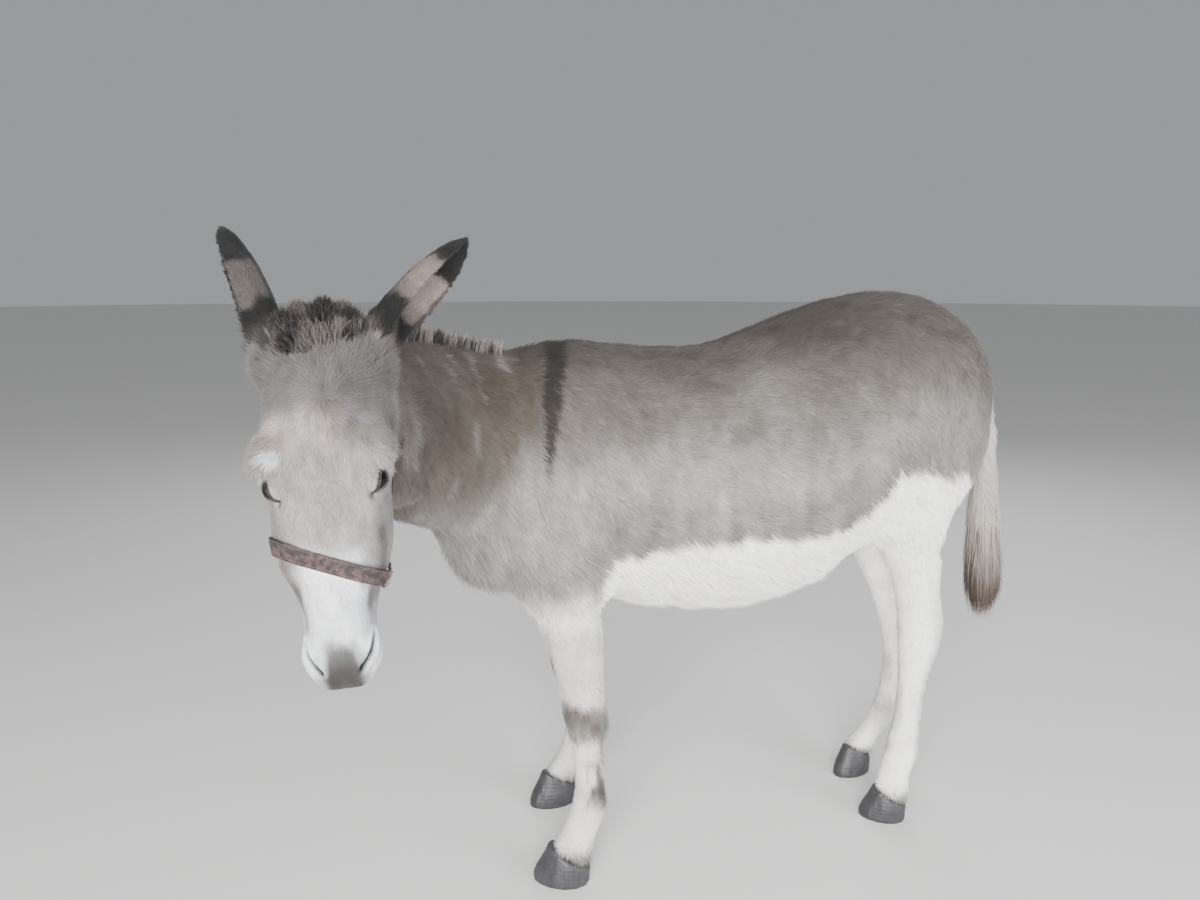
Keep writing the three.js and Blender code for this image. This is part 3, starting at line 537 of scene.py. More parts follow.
# Soft rises and hollows of the head, mirrored: (s, u, v), radii along the same axes, height.
HEAD_RELIEF = [
    ((0.150, 0.056, 0.060), (0.024, 0.018, 0.022), -0.0080),  # hollow over the eye
    ((0.196, 0.074, 0.062), (0.020, 0.018, 0.016), 0.0052),   # rim of the orbit
    ((0.262, 0.070, 0.034), (0.020, 0.014, 0.016), -0.0022),  # hollow before the eye
    ((0.300, 0.070, 0.004), (0.050, 0.012, 0.008), 0.0035),   # facial crest
    ((0.345, 0.046, 0.034), (0.050, 0.012, 0.016), -0.0075),  # hollow beside the nasal bone
    ((0.330, 0.020, 0.070), (0.080, 0.010, 0.012), 0.0014),   # edge of the nasal bone
    ((0.235, 0.066, -0.085), (0.012, 0.020, 0.050), -0.0030),  # front edge of the jaw muscle
    ((0.090, 0.030, 0.074), (0.040, 0.022, 0.020), 0.0030),   # muscle of the forehead
    ((0.120, 0.000, 0.082), (0.060, 0.008, 0.014), -0.0025),  # furrow between them
    ((0.462, 0.048, 0.014), (0.014, 0.010, 0.014), 0.0030),   # wing of the nostril
    ((0.440, 0.030, 0.048), (0.016, 0.010, 0.012), 0.0020),   # upper rim of the nostril
    ((0.500, 0.000, 0.020), (0.010, 0.006, 0.016), -0.0018),  # furrow of the upper lip
    ((0.470, 0.000, -0.066), (0.016, 0.016, 0.012), 0.0040),  # chin
]
# The same for the body, from the floor under the withers.
BODY_RELIEF = [
    ((-0.060, 0.160, 0.930), (0.012, 0.050, 0.130), 0.0050),   # spine of the shoulder blade
    ((-0.020, 0.170, 0.950), (0.020, 0.050, 0.110), -0.0050),  # hollow behind it
    ((-0.165, 0.150, 0.780), (0.045, 0.040, 0.050), 0.0060),   # point of the shoulder
    ((0.085, 0.165, 0.660), (0.030, 0.040, 0.035), 0.0080),    # elbow
    ((0.030, 0.175, 0.740), (0.080, 0.050, 0.020), -0.0050),   # fold over the forearm
    ((-0.235, 0.000, 0.800), (0.040, 0.018, 0.120), -0.0080),  # furrow of the chest
    ((0.620, 0.165, 1.110), (0.040, 0.045, 0.030), 0.0100),    # point of the hip
    ((0.540, 0.200, 1.060), (0.070, 0.050, 0.055), -0.0100),   # hollow of the flank
    ((0.600, 0.205, 0.830), (0.030, 0.050, 0.090), -0.0080),   # fold before the stifle
    ((0.690, 0.190, 0.790), (0.040, 0.040, 0.050), 0.0060),    # stifle
    ((0.800, 0.150, 0.850), (0.030, 0.050, 0.150), -0.0050),   # furrow between thigh and seat
    ((0.960, 0.100, 1.010), (0.035, 0.030, 0.030), 0.0060),    # point of the seat
    ((0.900, 0.000, 0.830), (0.080, 0.016, 0.140), -0.0100),   # furrow of the rump
]


def mounds(points, relief):
    rise = np.zeros(len(points))
    for place, radii, height in relief:
        away = points - np.array(place)
        away[:, 1] = np.abs(points[:, 1]) - place[1]
        rise += height * np.exp(-((away / np.array(radii)) ** 2).sum(1))
    return rise


RIB_PITCH, RIB_HEIGHT, RIB_SLANT = 0.042, 0.0014, 0.22


def ribs(d):
    """Faint ribs over the barrel, slanting back as they go down."""
    along = d[:, 0] + (d[:, 2] - 0.85) * RIB_SLANT
    share = smooth(along, 0.14, 0.22) * fade(along, 0.38, 0.46)
    share *= smooth(d[:, 2], 0.62, 0.72) * fade(d[:, 2], 0.92, 1.02)
    return RIB_HEIGHT * share * np.cos(along / RIB_PITCH * 2 * math.pi)


NOSTRIL_RIM, NOSTRIL_DEPTH, MOUTH_DEPTH = 0.0024, 0.0115, 0.0042


def sculpt(mesh):
    """The skin's own relief, after the coat's depth is taken off."""
    co, no = vertices_of(mesh), normals_of(mesh)
    q, d = head_axes(co), co - WITHERS
    rise = mounds(q, HEAD_RELIEF) + mounds(d, BODY_RELIEF) + ribs(d)
    away = nostril_distance(q)
    rise += NOSTRIL_RIM * bell(away, 0.0085, 0.0036) - NOSTRIL_DEPTH * bell(away, 0, 0.0032)
    rise -= MOUTH_DEPTH * bell(mouth_distance(q), 0, 0.0022) * smooth(q[:, 0], 0.432, 0.450)
    put_vertices(mesh, open_eyes(co + no * rise[:, None]))


def face_detail(co, reach):
    """True round the eyes, nostrils and mouth, where the skin's faces are small."""
    q = head_axes(co)
    chosen = (mouth_distance(q) < reach * 0.5) | (nostril_distance(q) < reach * 0.8)
    for side in (-1, 1):
        a, b, h, _ = eye_frame(co, side)
        chosen |= (np.hypot(a, b) < reach * 1.6) & (h > -0.006)
    return chosen


def refine(mesh, reach):
    bm = bmesh.new()
    bm.from_mesh(mesh)
    bm.edges.ensure_lookup_table()
    chosen = face_detail(vertices_of(mesh), reach)
    wanted = np.nonzero(chosen[edges_of(mesh)].all(1))[0]
    edges = [bm.edges[k] for k in wanted.tolist()]
    bmesh.ops.subdivide_edges(bm, edges=edges, cuts=1, use_grid_fill=True)
    bmesh.ops.triangulate(bm, faces=[face for face in bm.faces if len(face.verts) > 4])
    bm.to_mesh(mesh)
    bm.free()


SKIN_TRIANGLES = 190000
KEEP_LEVELS = 4
HEAD_BACK_X = -0.45  # the head lies wholly in front of this


def thinned(mesh):
    """Fewer faces over the body, down to the skin's budget, and most kept on the face."""
    co = vertices_of(mesh)
    keep = smooth(head_axes(co)[:, 0], 0.0, 0.08) * (co[:, 0] < HEAD_BACK_X)
    piece = bpy.data.objects.new("thin", mesh)
    bpy.context.scene.collection.objects.link(piece)
    group = piece.vertex_groups.new(name="thin")
    for level in range(KEEP_LEVELS + 1):
        chosen = np.nonzero(np.round(keep * KEEP_LEVELS) == level)[0]
        group.add(chosen.tolist(), 1 - level / KEEP_LEVELS, "REPLACE")
    mesh.calc_loop_triangles()
    modifier = piece.modifiers.new("thin", "DECIMATE")
    modifier.ratio = min(SKIN_TRIANGLES / len(mesh.loop_triangles), 1)
    modifier.use_collapse_triangulate = True
    modifier.vertex_group = "thin"
    modifier.vertex_group_factor = 6
    result = bpy.data.meshes.new_from_object(piece.evaluated_get(bpy.context.evaluated_depsgraph_get()))
    bpy.data.objects.remove(piece)
    return result


def make_skin_mesh():
    mesh = remeshed(joined_flesh(), VOXEL)
    spread = Spread(mesh)
    co = vertices_of(mesh)
    region = region_of(co)
    rounds = by_region(region, SMOOTHING)
    is_leg = rounds == SMOOTHING["leg"]
    rounds += is_leg * LEG_TOP_ROUNDS * smooth(co[:, 2], *LEG_TOP)
    rounds = spread.relax(rounds, 14)
    for done in range(max(SMOOTHING.values())):
        share = ROUND_SHARE * (rounds > done)
        co += (spread.average(co) - co) * share[:, None]
        if done < SMOOTHING["ear"]:
            swell = EAR_SWELL * np.isin(region, EARS)
            co -= (spread.average(co) - co) * swell[:, None]
    put_vertices(mesh, co)
    depth = by_region(region, COAT_DEPTH)
    depth *= 1 - MUZZLE_THINNING * smooth(head_axes(co)[:, 0], 0.36, 0.47) * (region == HEAD)
    depth = spread.relax(depth, 16)
    put_vertices(mesh, co - normals_of(mesh) * depth[:, None])
    for reach in FINE_REACHES:
        refine(mesh, reach)
    sculpt(mesh)
    return thinned(mesh)


# ---- Irregular patterns ----------------------------------------------------------------
class Noise:
    """Smooth random values from -1 to 1 that repeat for the same seed."""

    def __init__(self, seed):
        self.table = np.random.default_rng(seed).uniform(-1, 1, (32, 32, 32))

    def at(self, places, size):
        places = places / size
        cell = np.floor(places).astype(int)
        t = places - cell
        t = t * t * (3 - 2 * t)
        out = np.zeros(len(places))
        for corner in range(8):
            step = np.array([corner & 1, corner >> 1 & 1, corner >> 2 & 1])
            x, y, z = ((cell + step) & 31).T
            weight = np.abs(1 - step - t).prod(1)
            out += self.table[x, y, z] * weight
        return out


blotches, fine_blotches, bends, lengths = (Noise(seed) for seed in (3, 5, 7, 13))


# ---- The coat's colours ----------------------------------------------------------------
def paint(red, green, blue):
    """A colour given in 0 to 255, as light."""
    c = np.array((red, green, blue)) / 255
    return np.where(c < 0.04045, c / 12.92, ((c + 0.055) / 1.055) ** 2.4)


# The back's brown and the upper flank's grey are partly the coat's tone and partly painted shade on the top
# of the body.
BACK = paint(66, 60, 55)
FLANK = paint(86, 81, 76)
PALE_FLANK = paint(138, 134, 131)
LOW_FLANK = paint(114, 112, 111)
WHITE = paint(240, 238, 235)
STRIPE = paint(25, 22, 20)
# The neck's colours are partly painted shade, where the head shades the neck.
NECK = paint(68, 60, 53)
NECK_PALE = paint(98, 91, 84)
CHEST = paint(134, 131, 129)
FOREHEAD = paint(90, 86, 85)
BROW = paint(124, 121, 120)
TAN = paint(104, 92, 84)
CREAM = paint(150, 141, 134)
# Darker grey of the whorl, the flecks and the streaks beside the nose; in the flecks it is partly painted
# shade.
DARK_HAIR_AND_SHADE = paint(64, 60, 59)
NOSE = paint(206, 208, 212)
MUZZLE = paint(44, 41, 39)
LIP = paint(44, 40, 37)
BLACK = paint(8, 8, 8)
EAR_GREY = paint(80, 75, 72)
EAR_PINK = paint(116, 104, 99)
EAR_BASE = paint(126, 122, 119)
KNEE = paint(60, 52, 44)
TAIL_TOP = paint(182, 177, 173)
TAIL_PALE = paint(160, 152, 145)
TAIL_BROWN = paint(68, 56, 48)

# Where the white of the belly and thigh ends, from front to back: x and height.
WHITE_X = (-0.30, 0.045, 0.080, 0.150, 0.245, 0.344, 0.451,
           0.541, 0.617, 0.673, 0.725, 0.802, 0.843, 0.95)
WHITE_Z = (0.600, 0.610, 0.698, 0.718, 0.720, 0.724, 0.724,
           0.739, 0.771, 0.838, 0.850, 0.838, 0.841, 0.80)
# The shoulder stripe on each side: height, middle and half width.
CROSS_LOW = 0.845
CROSS_Z = (CROSS_LOW, 0.940, 1.013, 1.108)
CROSS_X = (-0.056, -0.045, -0.036, -0.013)
CROSS_HALF = (0.001, 0.0085, 0.0150, 0.0215)
WHORL = np.array((0.108, 0.010, 0.080))  # where the forehead's hair parts, in head axes
SUNLIT_BROW_SPOT = (0.186, -0.068)  # a painted patch of sunlight on the hair over the right eye, in head axes
NOSE_EDGE_S = (0.25, 0.34, 0.40, 0.43)  # along the head, the dark streak beside the nose bone
NOSE_EDGE_U = (0.076, 0.066, 0.043, 0.042)  # and how far out it runs
SPINE_HALF = (0.006, 0.014)  # half widths at which the dark line on the spine softens and ends
# Each ear's marks as shares of its length: where the black ring over its base, the grey
# band and the black tip start, and over how much of the length each comes on.
EAR_MARKS = {1: (0.015, 0.29, 0.65), -1: (-0.050, 0.23, 0.58)}
EAR_SOFT = (0.045, 0.06, 0.06)
EAR_BASE_DARK = {1: 0.92, -1: 0.65}  # how dark the head's hair is in front of each ear
KNEE_HEIGHTS = (0.286, 0.322, 0.372, 0.404)  # the dark knee starts, is full, thins and ends
FETLOCK_RING = (0.188, 0.013)  # height and half width of the dark ring over the fetlock
CORONET_DARK = (0.066, 0.085)  # the dark hair over the hooves fades between these heights


def body_colour(d, normal):
    """From the pale lower flank up to the brown back, partly painted shade, with the dark cross and white
    belly.
    """
    up = d[:, 2]
    slow, quick = blotches.at(d, 0.13), fine_blotches.at(d * (1, 1, 0.35), 0.022)
    streaky = fine_blotches.at(d * (1, 1, 0.25), 0.009)
    edge = np.interp(d[:, 0], WHITE_X, WHITE_Z)
    rise = (up - edge) / np.maximum(1.13 - edge, 0.1)
    rise += 0.13 * slow + 0.07 * quick + 0.05 * blotches.at(d + 2, 0.05)
    colour = blend(same(LOW_FLANK, d), PALE_FLANK, smooth(rise, 0.10, 0.42))
    # Darker toward the top of the body: partly the coat's browner tone, partly painted shade.
    colour = blend(colour, FLANK, 0.92 * smooth(rise, 0.34, 0.76))
    colour = blend(colour, BACK, smooth(rise, 0.66, 1.04))
    # Painted shade over the rump and thigh, in the upper flank's grey.
    colour = blend(colour, FLANK, 0.60 * smooth(d[:, 0], 0.52, 0.78) * smooth(rise, 0.02, 0.5))
    fore = smooth(-d[:, 0] + 0.03 * slow, -0.12, 0.12)
    colour = blend(colour, CHEST, 0.8 * fore * fade(up, 0.84, 0.98))
    # The neck's colour, partly painted shade, runs over the top of the forehand.
    colour = blend(colour, NECK, 0.60 * fore * smooth(up, 0.84, 1.06))
    spine = fade(np.abs(d[:, 1]) + 0.003 * quick, *SPINE_HALF)
    spine *= smooth(normal[:, 2], 0.5, 0.8) * smooth(d[:, 0], -0.06, 0.0)
    half = np.interp(up, CROSS_Z, CROSS_HALF) * (1 + 0.25 * quick)
    away = np.abs(d[:, 0] - np.interp(up, CROSS_Z, CROSS_X)) - half
    cross = fade(away, -0.004, 0.007) * smooth(up, CROSS_LOW, 0.90)
    colour = blend(colour, STRIPE, 0.88 * np.maximum(spine, cross))
    soft = 0.012 + 0.045 * fade(d[:, 0], 0.03, 0.09)
    white = smooth((edge - up + 0.012 * quick + 0.016 * slow) / soft, -1, 1)
    mottle = blotches.at(d * (1, 1, 0.7) + 11, 0.034) + 0.6 * quick
    grain = 0.16 * mottle * (1 - white) + 0.17 * streaky * (1 - 0.6 * white) + 0.05 * quick
    return blend(colour * (1 + grain)[:, None], WHITE * (1 + 0.08 * streaky)[:, None], white)


# Darkened partly as painted shade, where the head shades the neck.
def neck_colour(d):
    slow, streaky = blotches.at(d + 3, 0.075), fine_blotches.at(d * (1, 1, 0.22) + 5, 0.020)
    low = smooth(1.00 - d[:, 2], -0.04, 0.24)
    colour = blend(same(NECK, d), NECK_PALE, np.clip(0.12 + 0.8 * low + 0.35 * slow, 0, 1))
    colour = blend(colour, CHEST, 0.7 * smooth(0.88 - d[:, 2], -0.02, 0.10))
    colour = blend(colour, EAR_BASE, 0.55 * smooth(streaky + 0.4 * slow, 0.35, 0.85))
    return colour * (1 + 0.12 * fine_blotches.at(d * (1, 1, 0.3), 0.008))[:, None]


def head_colour(q, d):
    s, u, v = q.T
    slow, quick = blotches.at(q + 1, 0.05), fine_blotches.at(q * (0.45, 1, 1), 0.011)
    colour = blend(same(FOREHEAD, q), BROW, smooth(s + 0.03 * slow, 0.09, 0.20))
    cream = smooth(slow + 0.3 * quick, 0.0, 0.6) * smooth(s, 0.08, 0.14) * fade(s, 0.25, 0.33)
    colour = blend(colour, CREAM, 0.55 * cream)
    colour = blend(colour, TAN, 0.5 * smooth(blotches.at(q + 6, 0.035), 0.2, 0.7) * fade(s, 0.10, 0.30))
    # A painted patch of sunlight over the right eye, in the nose's white.
    spot = np.hypot(s - SUNLIT_BROW_SPOT[0], (u - SUNLIT_BROW_SPOT[1]) * 0.8) + 0.008 * quick
    colour = blend(colour, NOSE, 0.65 * fade(spot, 0.003, 0.013) * (u < -0.03))
    whorl = bell(np.hypot(s - WHORL[0], (u - WHORL[1]) * 0.6), 0, 0.019)
    # Dark flecks over the upper head, partly painted shade in the hollows over the eyes and at the temples.
    flecks = smooth(quick, 0.45, 0.9) * (s < 0.2) * (1 - whorl)
    colour = blend(colour, DARK_HAIR_AND_SHADE, 0.72 * whorl + 0.35 * flecks)
    bridge = fade(np.abs(u) + 0.006 * quick, 0.036, 0.056)
    colour = blend(colour, PALE_FLANK, 0.7 * bridge * smooth(s + 0.02 * slow, 0.20, 0.28))
    pale_nose = np.maximum(bridge * smooth(s + 0.01 * slow, 0.300, 0.345), smooth(s, 0.36, 0.42))
    colour = blend(colour, NOSE, pale_nose)
    beside = np.abs(u) - np.interp(s, NOSE_EDGE_S, NOSE_EDGE_U) + 0.004 * quick
    streak = bell(beside, 0, 0.008) * smooth(s, 0.26, 0.30) * fade(s, 0.41, 0.45)
    colour = blend(colour, DARK_HAIR_AND_SHADE, np.clip(streak * (0.55 + 0.5 * quick), 0, 0.85) * (v > -0.02))
    # The jaw takes the pale neck colour, which is partly painted shade.
    jaw = smooth(-v, 0.0, 0.05) * fade(s, 0.36, 0.44)
    colour = blend(colour, NECK_PALE, 0.6 * jaw)
    # The back of the head takes the neck's colour, which is partly painted shade.
    behind = smooth(-v + 0.01 * quick, 0.020, 0.050) * fade(s, 0.20, 0.30)
    colour = blend(colour, neck_colour(d) * 0.9, 0.9 * behind)
    patch = np.hypot(np.maximum(0.478 - s, 0) / 0.040, (u - 0.003) / 0.040)
    low = fade(patch + 0.24 * slow + 0.18 * quick, 0.40, 1.15) * smooth(v, -0.050, -0.020)
    colour = blend(colour, MUZZLE, low * (0.90 + 0.09 * smooth(s, 0.452, 0.486)))
    for side, share in EAR_BASE_DARK.items():
        base = np.linalg.norm(q - (0.010, side * 0.046, 0.012), axis=1) + 0.006 * quick
        colour = blend(colour, BLACK * 1.4, share * fade(base, 0.022, 0.034))
    lip = bell(mouth_distance(q), 0.004, 0.006) * smooth(s, 0.44, 0.47)
    colour = blend(colour, LIP, 0.7 * lip)
    colour = blend(colour, BLACK, 0.96 * fade(nostril_distance(q), 0.0024, 0.0050))
    return colour * (1 + 0.19 * quick + 0.12 * slow)[:, None]


def around_eyes(colour, co):
    """Dark skin at the lids' edges and a pale ring of hair beyond it."""
    for side in (-1, 1):
        a, b, h, gap = eye_frame(co, side)
        front = (h > 0) & (np.hypot(a, b) < 0.04)
        colour = blend(colour, BROW * 1.15, 0.5 * front * bell(gap, 0.011, 0.006))
        corner = fade(np.hypot((a - LID_LENGTH - 0.004) * 0.6, b * 1.3), 0.002, 0.006)
        dark = np.maximum(fade(gap, 0.0030, 0.0062), 0.65 * corner)
        colour = blend(colour, BLACK * 1.4, dark * front)
    return colour


def leg_colour(d, fore):
    """White, with dark knees, a ring over the fetlock and a dark coronet."""
    up = d[:, 2]
    slow = blotches.at(d * (1, 1, 0.5) + 7, 0.07)
    quick = fine_blotches.at(d * (1, 1, 0.35), 0.010)
    edge = np.interp(d[:, 0], WHITE_X, WHITE_Z)
    soft = 0.05 if fore else 0.02
    colour = blend(same(LOW_FLANK, d), WHITE, smooth((edge - up + 0.02 * quick) / soft, -1, 1))
    if fore:
        grey = 0.42 + 0.22 * smooth(up + 0.05 * slow, 0.38, 0.56) + 0.14 * slow
        colour = blend(colour, PALE_FLANK, grey)
        level = up + 0.012 * quick
        knee = smooth(level, *KNEE_HEIGHTS[:2]) * fade(level, *KNEE_HEIGHTS[2:])
        knee *= 0.72 + 0.28 * smooth(slow + 0.3 * quick, -0.4, 0.5)
        streak = smooth(slow + quick * 0.5, -0.1, 0.5) * smooth(up, 0.13, 0.2) * fade(up, 0.28, 0.33)
        streak *= 1.3
    else:
        knee = 0.35 * smooth(up, 0.42, 0.46) * fade(up, 0.49, 0.54) * smooth(slow, -0.2, 0.5)
        streak = 0.5 * smooth(slow + quick * 0.4, 0.3, 0.8) * (up < 0.4)
    ring = bell(up + 0.02 * slow, *FETLOCK_RING) * (0.6 if fore else 0.3) * (0.6 + 0.6 * slow)
    crown = fade(up, *CORONET_DARK) * 0.8
    for share in (knee, streak * 0.72, ring, crown):
        colour = blend(colour, KNEE, np.clip(share, 0, 0.93))
    return colour * (1 + 0.07 * quick)[:, None]


def farthest_vertex(node, place):
    co = vertices_of(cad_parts[node].data)
    return co[np.argmax(np.linalg.norm(co - place, axis=1))]


EAR_ROOT = (0.024, 0.064, -0.020)
EAR_NODES = {1: "ear_left", -1: "ear_right"}
ear_roots = {side: np.array(head_point(EAR_ROOT[0], side * EAR_ROOT[1], EAR_ROOT[2])) for side in (-1, 1)}
ear_tips = {side: farthest_vertex(node, ear_roots[side]) for side, node in EAR_NODES.items()}


def ear_share(co, side):
    """0 at the ear's root, 1 at its tip."""
    along = ear_tips[side] - ear_roots[side]
    return (co - ear_roots[side]) @ along / (along @ along)


class EarSpan:
    """How wide an ear is along its length, across the head."""

    def __init__(self, side):
        self.side = side
        axis = unit((ear_tips[side] - ear_roots[side])[None])[0]
        across = np.array(left_way) - axis * (np.array(left_way) @ axis)
        self.across = across / np.linalg.norm(across)
        co = vertices_of(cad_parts[EAR_NODES[side]].data)
        t, wide = ear_share(co, side), (co - ear_roots[side]) @ self.across
        self.steps = np.linspace(0.1, 0.95, 12)
        near = [wide[np.abs(t - step) < 0.07] for step in self.steps]
        self.low = np.array([w.min() for w in near])
        self.high = np.array([w.max() for w in near])

    def at(self, co):
        """-1 at the edge toward the right ear, 1 at the other."""
        t = ear_share(co, self.side)
        low, high = np.interp(t, self.steps, self.low), np.interp(t, self.steps, self.high)
        return 2 * ((co - ear_roots[self.side]) @ self.across - low) / (high - low) - 1


ear_spans = {side: EarSpan(side) for side in EAR_NODES}


def ear_colour(co, side):
    """Pale at the base, then a black ring, a grey band with dark edges and a black tip."""
    rough = 0.05 * fine_blotches.at(co, 0.016) + 0.04 * blotches.at(co, 0.04)
    t = ear_share(co, side) + rough
    span = np.abs(ear_spans[side].at(co)) + 1.5 * rough
    ring, band, tip = (smooth(t, start, start + soft) for start, soft in zip(EAR_MARKS[side], EAR_SOFT))
    grey = same(EAR_GREY * 0.8, co)
    if side > 0:
        grey = blend(grey, EAR_PINK, smooth(t, 0.30, 0.50))
    grey = blend(grey, BLACK * 2, 0.75 * smooth(span, 0.62, 0.78) * fade(span, 0.93, 1.0))
    colour = blend(same(EAR_BASE, co), BLACK * 1.3, ring)
    return blend(blend(colour, grey, band), BLACK * 1.2, tip)


def tail_colour(d):
    up = d[:, 2] + 0.03 * fine_blotches.at(d * (1, 1, 0.3), 0.014)
    colour = blend(same(TAIL_BROWN, d), TAIL_PALE, smooth(up, 0.48, 0.66))
    return blend(colour, TAIL_TOP, smooth(up, 0.66, 0.90))


def coat_colour(co, normal, shares):
    """The coat's colour at places on the skin, from each region's share there."""
    d, q = co - WITHERS, head_axes(co)
    colours = {"trunk": body_colour(d, normal), "neck": neck_colour(d),
               "head": around_eyes(head_colour(q, d), co), "ear_left": ear_colour(co, 1),
               "ear_right": ear_colour(co, -1), "tail": tail_colour(d)}
    fore, hind = leg_colour(d, True), leg_colour(d, False)
    total = np.zeros((len(co), 3))
    for index, node in enumerate(FLESH):
        colour = colours.get(node, fore if "foreleg" in node else hind)
        total += colour * shares[:, index, None]
    return np.clip(total, 0, 1)


# ---- The lie of the coat ---------------------------------------------------------------
NECK_LIE, TAIL_LIE, LEG_LIE = (0.45, 0.42, -0.78), (0.25, 0, -1.0), (0.10, 0, -1.0)


def lie(co, normal, shares):
    """The way the hair lies, along the skin."""
    d, q = co - WITHERS, head_axes(co)
    head, left, face = (np.array(way) for way in (down_way, left_way, face_way))
    back = smooth(d[:, 0], 0.55, 0.80)
    shoulder = fade(d[:, 0], -0.05, 0.20)
    trunk = np.stack([0.85 - 0.5 * back - 0.3 * shoulder, np.zeros(len(co)),
                      -0.42 - 0.5 * back - 0.35 * shoulder], 1)
    from_whorl = (q - WHORL) * (1, 1, 0.3)
    radial = from_whorl[:, :1] * head + from_whorl[:, 1:2] * left + from_whorl[:, 2:] * face
    down = smooth(q[:, 0], WHORL[0], WHORL[0] + 0.09)
    across = np.clip(q[:, 1] / 0.08, -1, 1)[:, None] * left * 0.35
    face_lie = unit(radial) * (1 - down)[:, None] + (head + across - face * 0.25) * down[:, None]
    ways = {"trunk": trunk, "neck": same(NECK_LIE, co), "head": face_lie, "tail": same(TAIL_LIE, co)}
    for side, node in EAR_NODES.items():
        ways[node] = same(ear_tips[side] - ear_roots[side], co)
    leg = same(LEG_LIE, co)
    total = np.zeros((len(co), 3))
    for index, node in enumerate(FLESH):
        total += unit(ways.get(node, leg)) * shares[:, index, None]
    total -= normal * (total * normal).sum(1)[:, None]
    return unit(total)


# ---- Tufts and locks -------------------------------------------------------------------
rng = np.random.default_rng(21)


HAIR_TAPER = 1.5  # how late a hair narrows toward its tip
ROOT_SHADE, TIP_SHADE = 0.72, 1.08  # how dark a hair is at its root and how light at its point
OWN_SHARE, SKIN_SHARE = 0.45, 0.90  # a hair's upper faces take light partly as the skin does
BAKE_PATCH = 0.003  # the size of a hair's face on the unwrapped sheet


def hair_faces(rings):
    """The faces of one hair, base cap first, and whether each is an upper one."""
    point = 3 * rings
    faces, upper = [(0, 1, 2)], [False]
    for ring in range(rings):
        for a, b in ((0, 1), (1, 2), (2, 0)):
            low_a, low_b = 3 * ring + a, 3 * ring + b
            if ring < rings - 1:
                faces += [(low_b, low_a, low_a + 3), (low_b, low_a + 3, low_b + 3)]
                upper += [a > 0] * 2
            else:
                faces.append((low_b, low_a, point))
                upper.append(a > 0)
    return np.array(faces), np.array(upper)


def hair_mesh(name, paths, side, width, thick, colour, skin_normal, unwrap):
    """Closed three-sided hairs, each along its path to a point. Paths are (hair, step, xyz),
    and colours are (hair, rgb), or (hair, step, rgb) where they change along the hair."""
    count, steps, _ = paths.shape
    rings = steps - 1
    per = 3 * rings + 1
    taper = 1 - (np.arange(rings) / rings) ** HAIR_TAPER
    run = unit(paths[:, 1] - paths[:, 0])
    up = np.cross(side, run)
    up *= np.sign((up * skin_normal).sum(1))[:, None]
    points = np.empty((count, per, 3))
    for ring in range(rings):
        half = side * (width * taper[ring] / 2)[:, None]
        centre = paths[:, ring]
        points[:, 3 * ring] = centre + half
        points[:, 3 * ring + 1] = centre - half
        points[:, 3 * ring + 2] = centre + up * (thick * taper[ring])[:, None]
    points[:, -1] = paths[:, -1]
    faces, upper = hair_faces(rings)
    # The base cap faces back along the run. Where it doesn't, the hair's faces are turned.
    p = points[:, faces[0]]
    cap = np.cross(p[:, 1] - p[:, 0], p[:, 2] - p[:, 0])
    turned = (cap * run).sum(1) > 0
    order = np.where(turned[:, None, None], faces[None, :, ::-1], faces[None])
    loops = (order + (np.arange(count) * per)[:, None, None]).reshape(-1, 3)
    mesh = bpy.data.meshes.new(name)
    mesh.vertices.add(count * per)
    mesh.vertices.foreach_set("co", points.astype(np.float32).ravel())
    mesh.loops.add(loops.size)
    mesh.loops.foreach_set("vertex_index", loops.astype(np.int32).ravel())
    mesh.polygons.add(len(loops))
    mesh.polygons.foreach_set("loop_start", np.arange(0, loops.size, 3, dtype=np.int32))
    mesh.update(calc_edges=True)
    step_of = np.arange(per) // 3
    shade = ROOT_SHADE + (1 - ROOT_SHADE) * step_of / rings
    shade[-1] = TIP_SHADE
    colour = colour[:, step_of] if colour.ndim == 3 else colour[:, None]
    put_tint(mesh, np.clip(colour * shade[None, :, None], 0, 1).reshape(-1, 3))
    patch = np.array([(0, 0), (BAKE_PATCH, 0), (0, BAKE_PATCH)])
    uv = np.repeat(unwrap * 0.99, len(faces), 0)[:, None, :] + patch
    layer = mesh.uv_layers.new(name="OFBake")
    layer.uv.foreach_set("vector", uv.astype(np.float32).ravel())
    flat = points.reshape(-1, 3)[loops]
    own = unit(np.cross(flat[:, 1] - flat[:, 0], flat[:, 2] - flat[:, 0])).reshape(count, len(faces), 3)
    soft = own * OWN_SHARE + skin_normal[:, None, :] * SKIN_SHARE
    normals = np.where(upper[None, :, None], soft, own)
    mesh.polygons.foreach_set("use_smooth", np.ones(len(loops), bool))
    mesh.normals_split_custom_set(unit(np.repeat(normals.reshape(-1, 3), 3, 0)).astype(np.float32))
    return mesh


def eye_closeness(co):
    """How near places are to an eye, from 0 to 1, and the way out from that eye."""
    near, out = np.zeros(len(co)), np.zeros((len(co), 3))
    for side in (-1, 1):
        _, _, along, up = eye_axes(side)
        a, b, h, gap = eye_frame(co, side)
        close = fade(gap, 0.004, 0.017) * (h > -0.004) * (np.hypot(a, b) < 0.045)
        out += (a[:, None] * np.array(along) * 0.5 + b[:, None] * np.array(up)) * close[:, None]
        near = np.maximum(near, close)
    return near, unit(out)


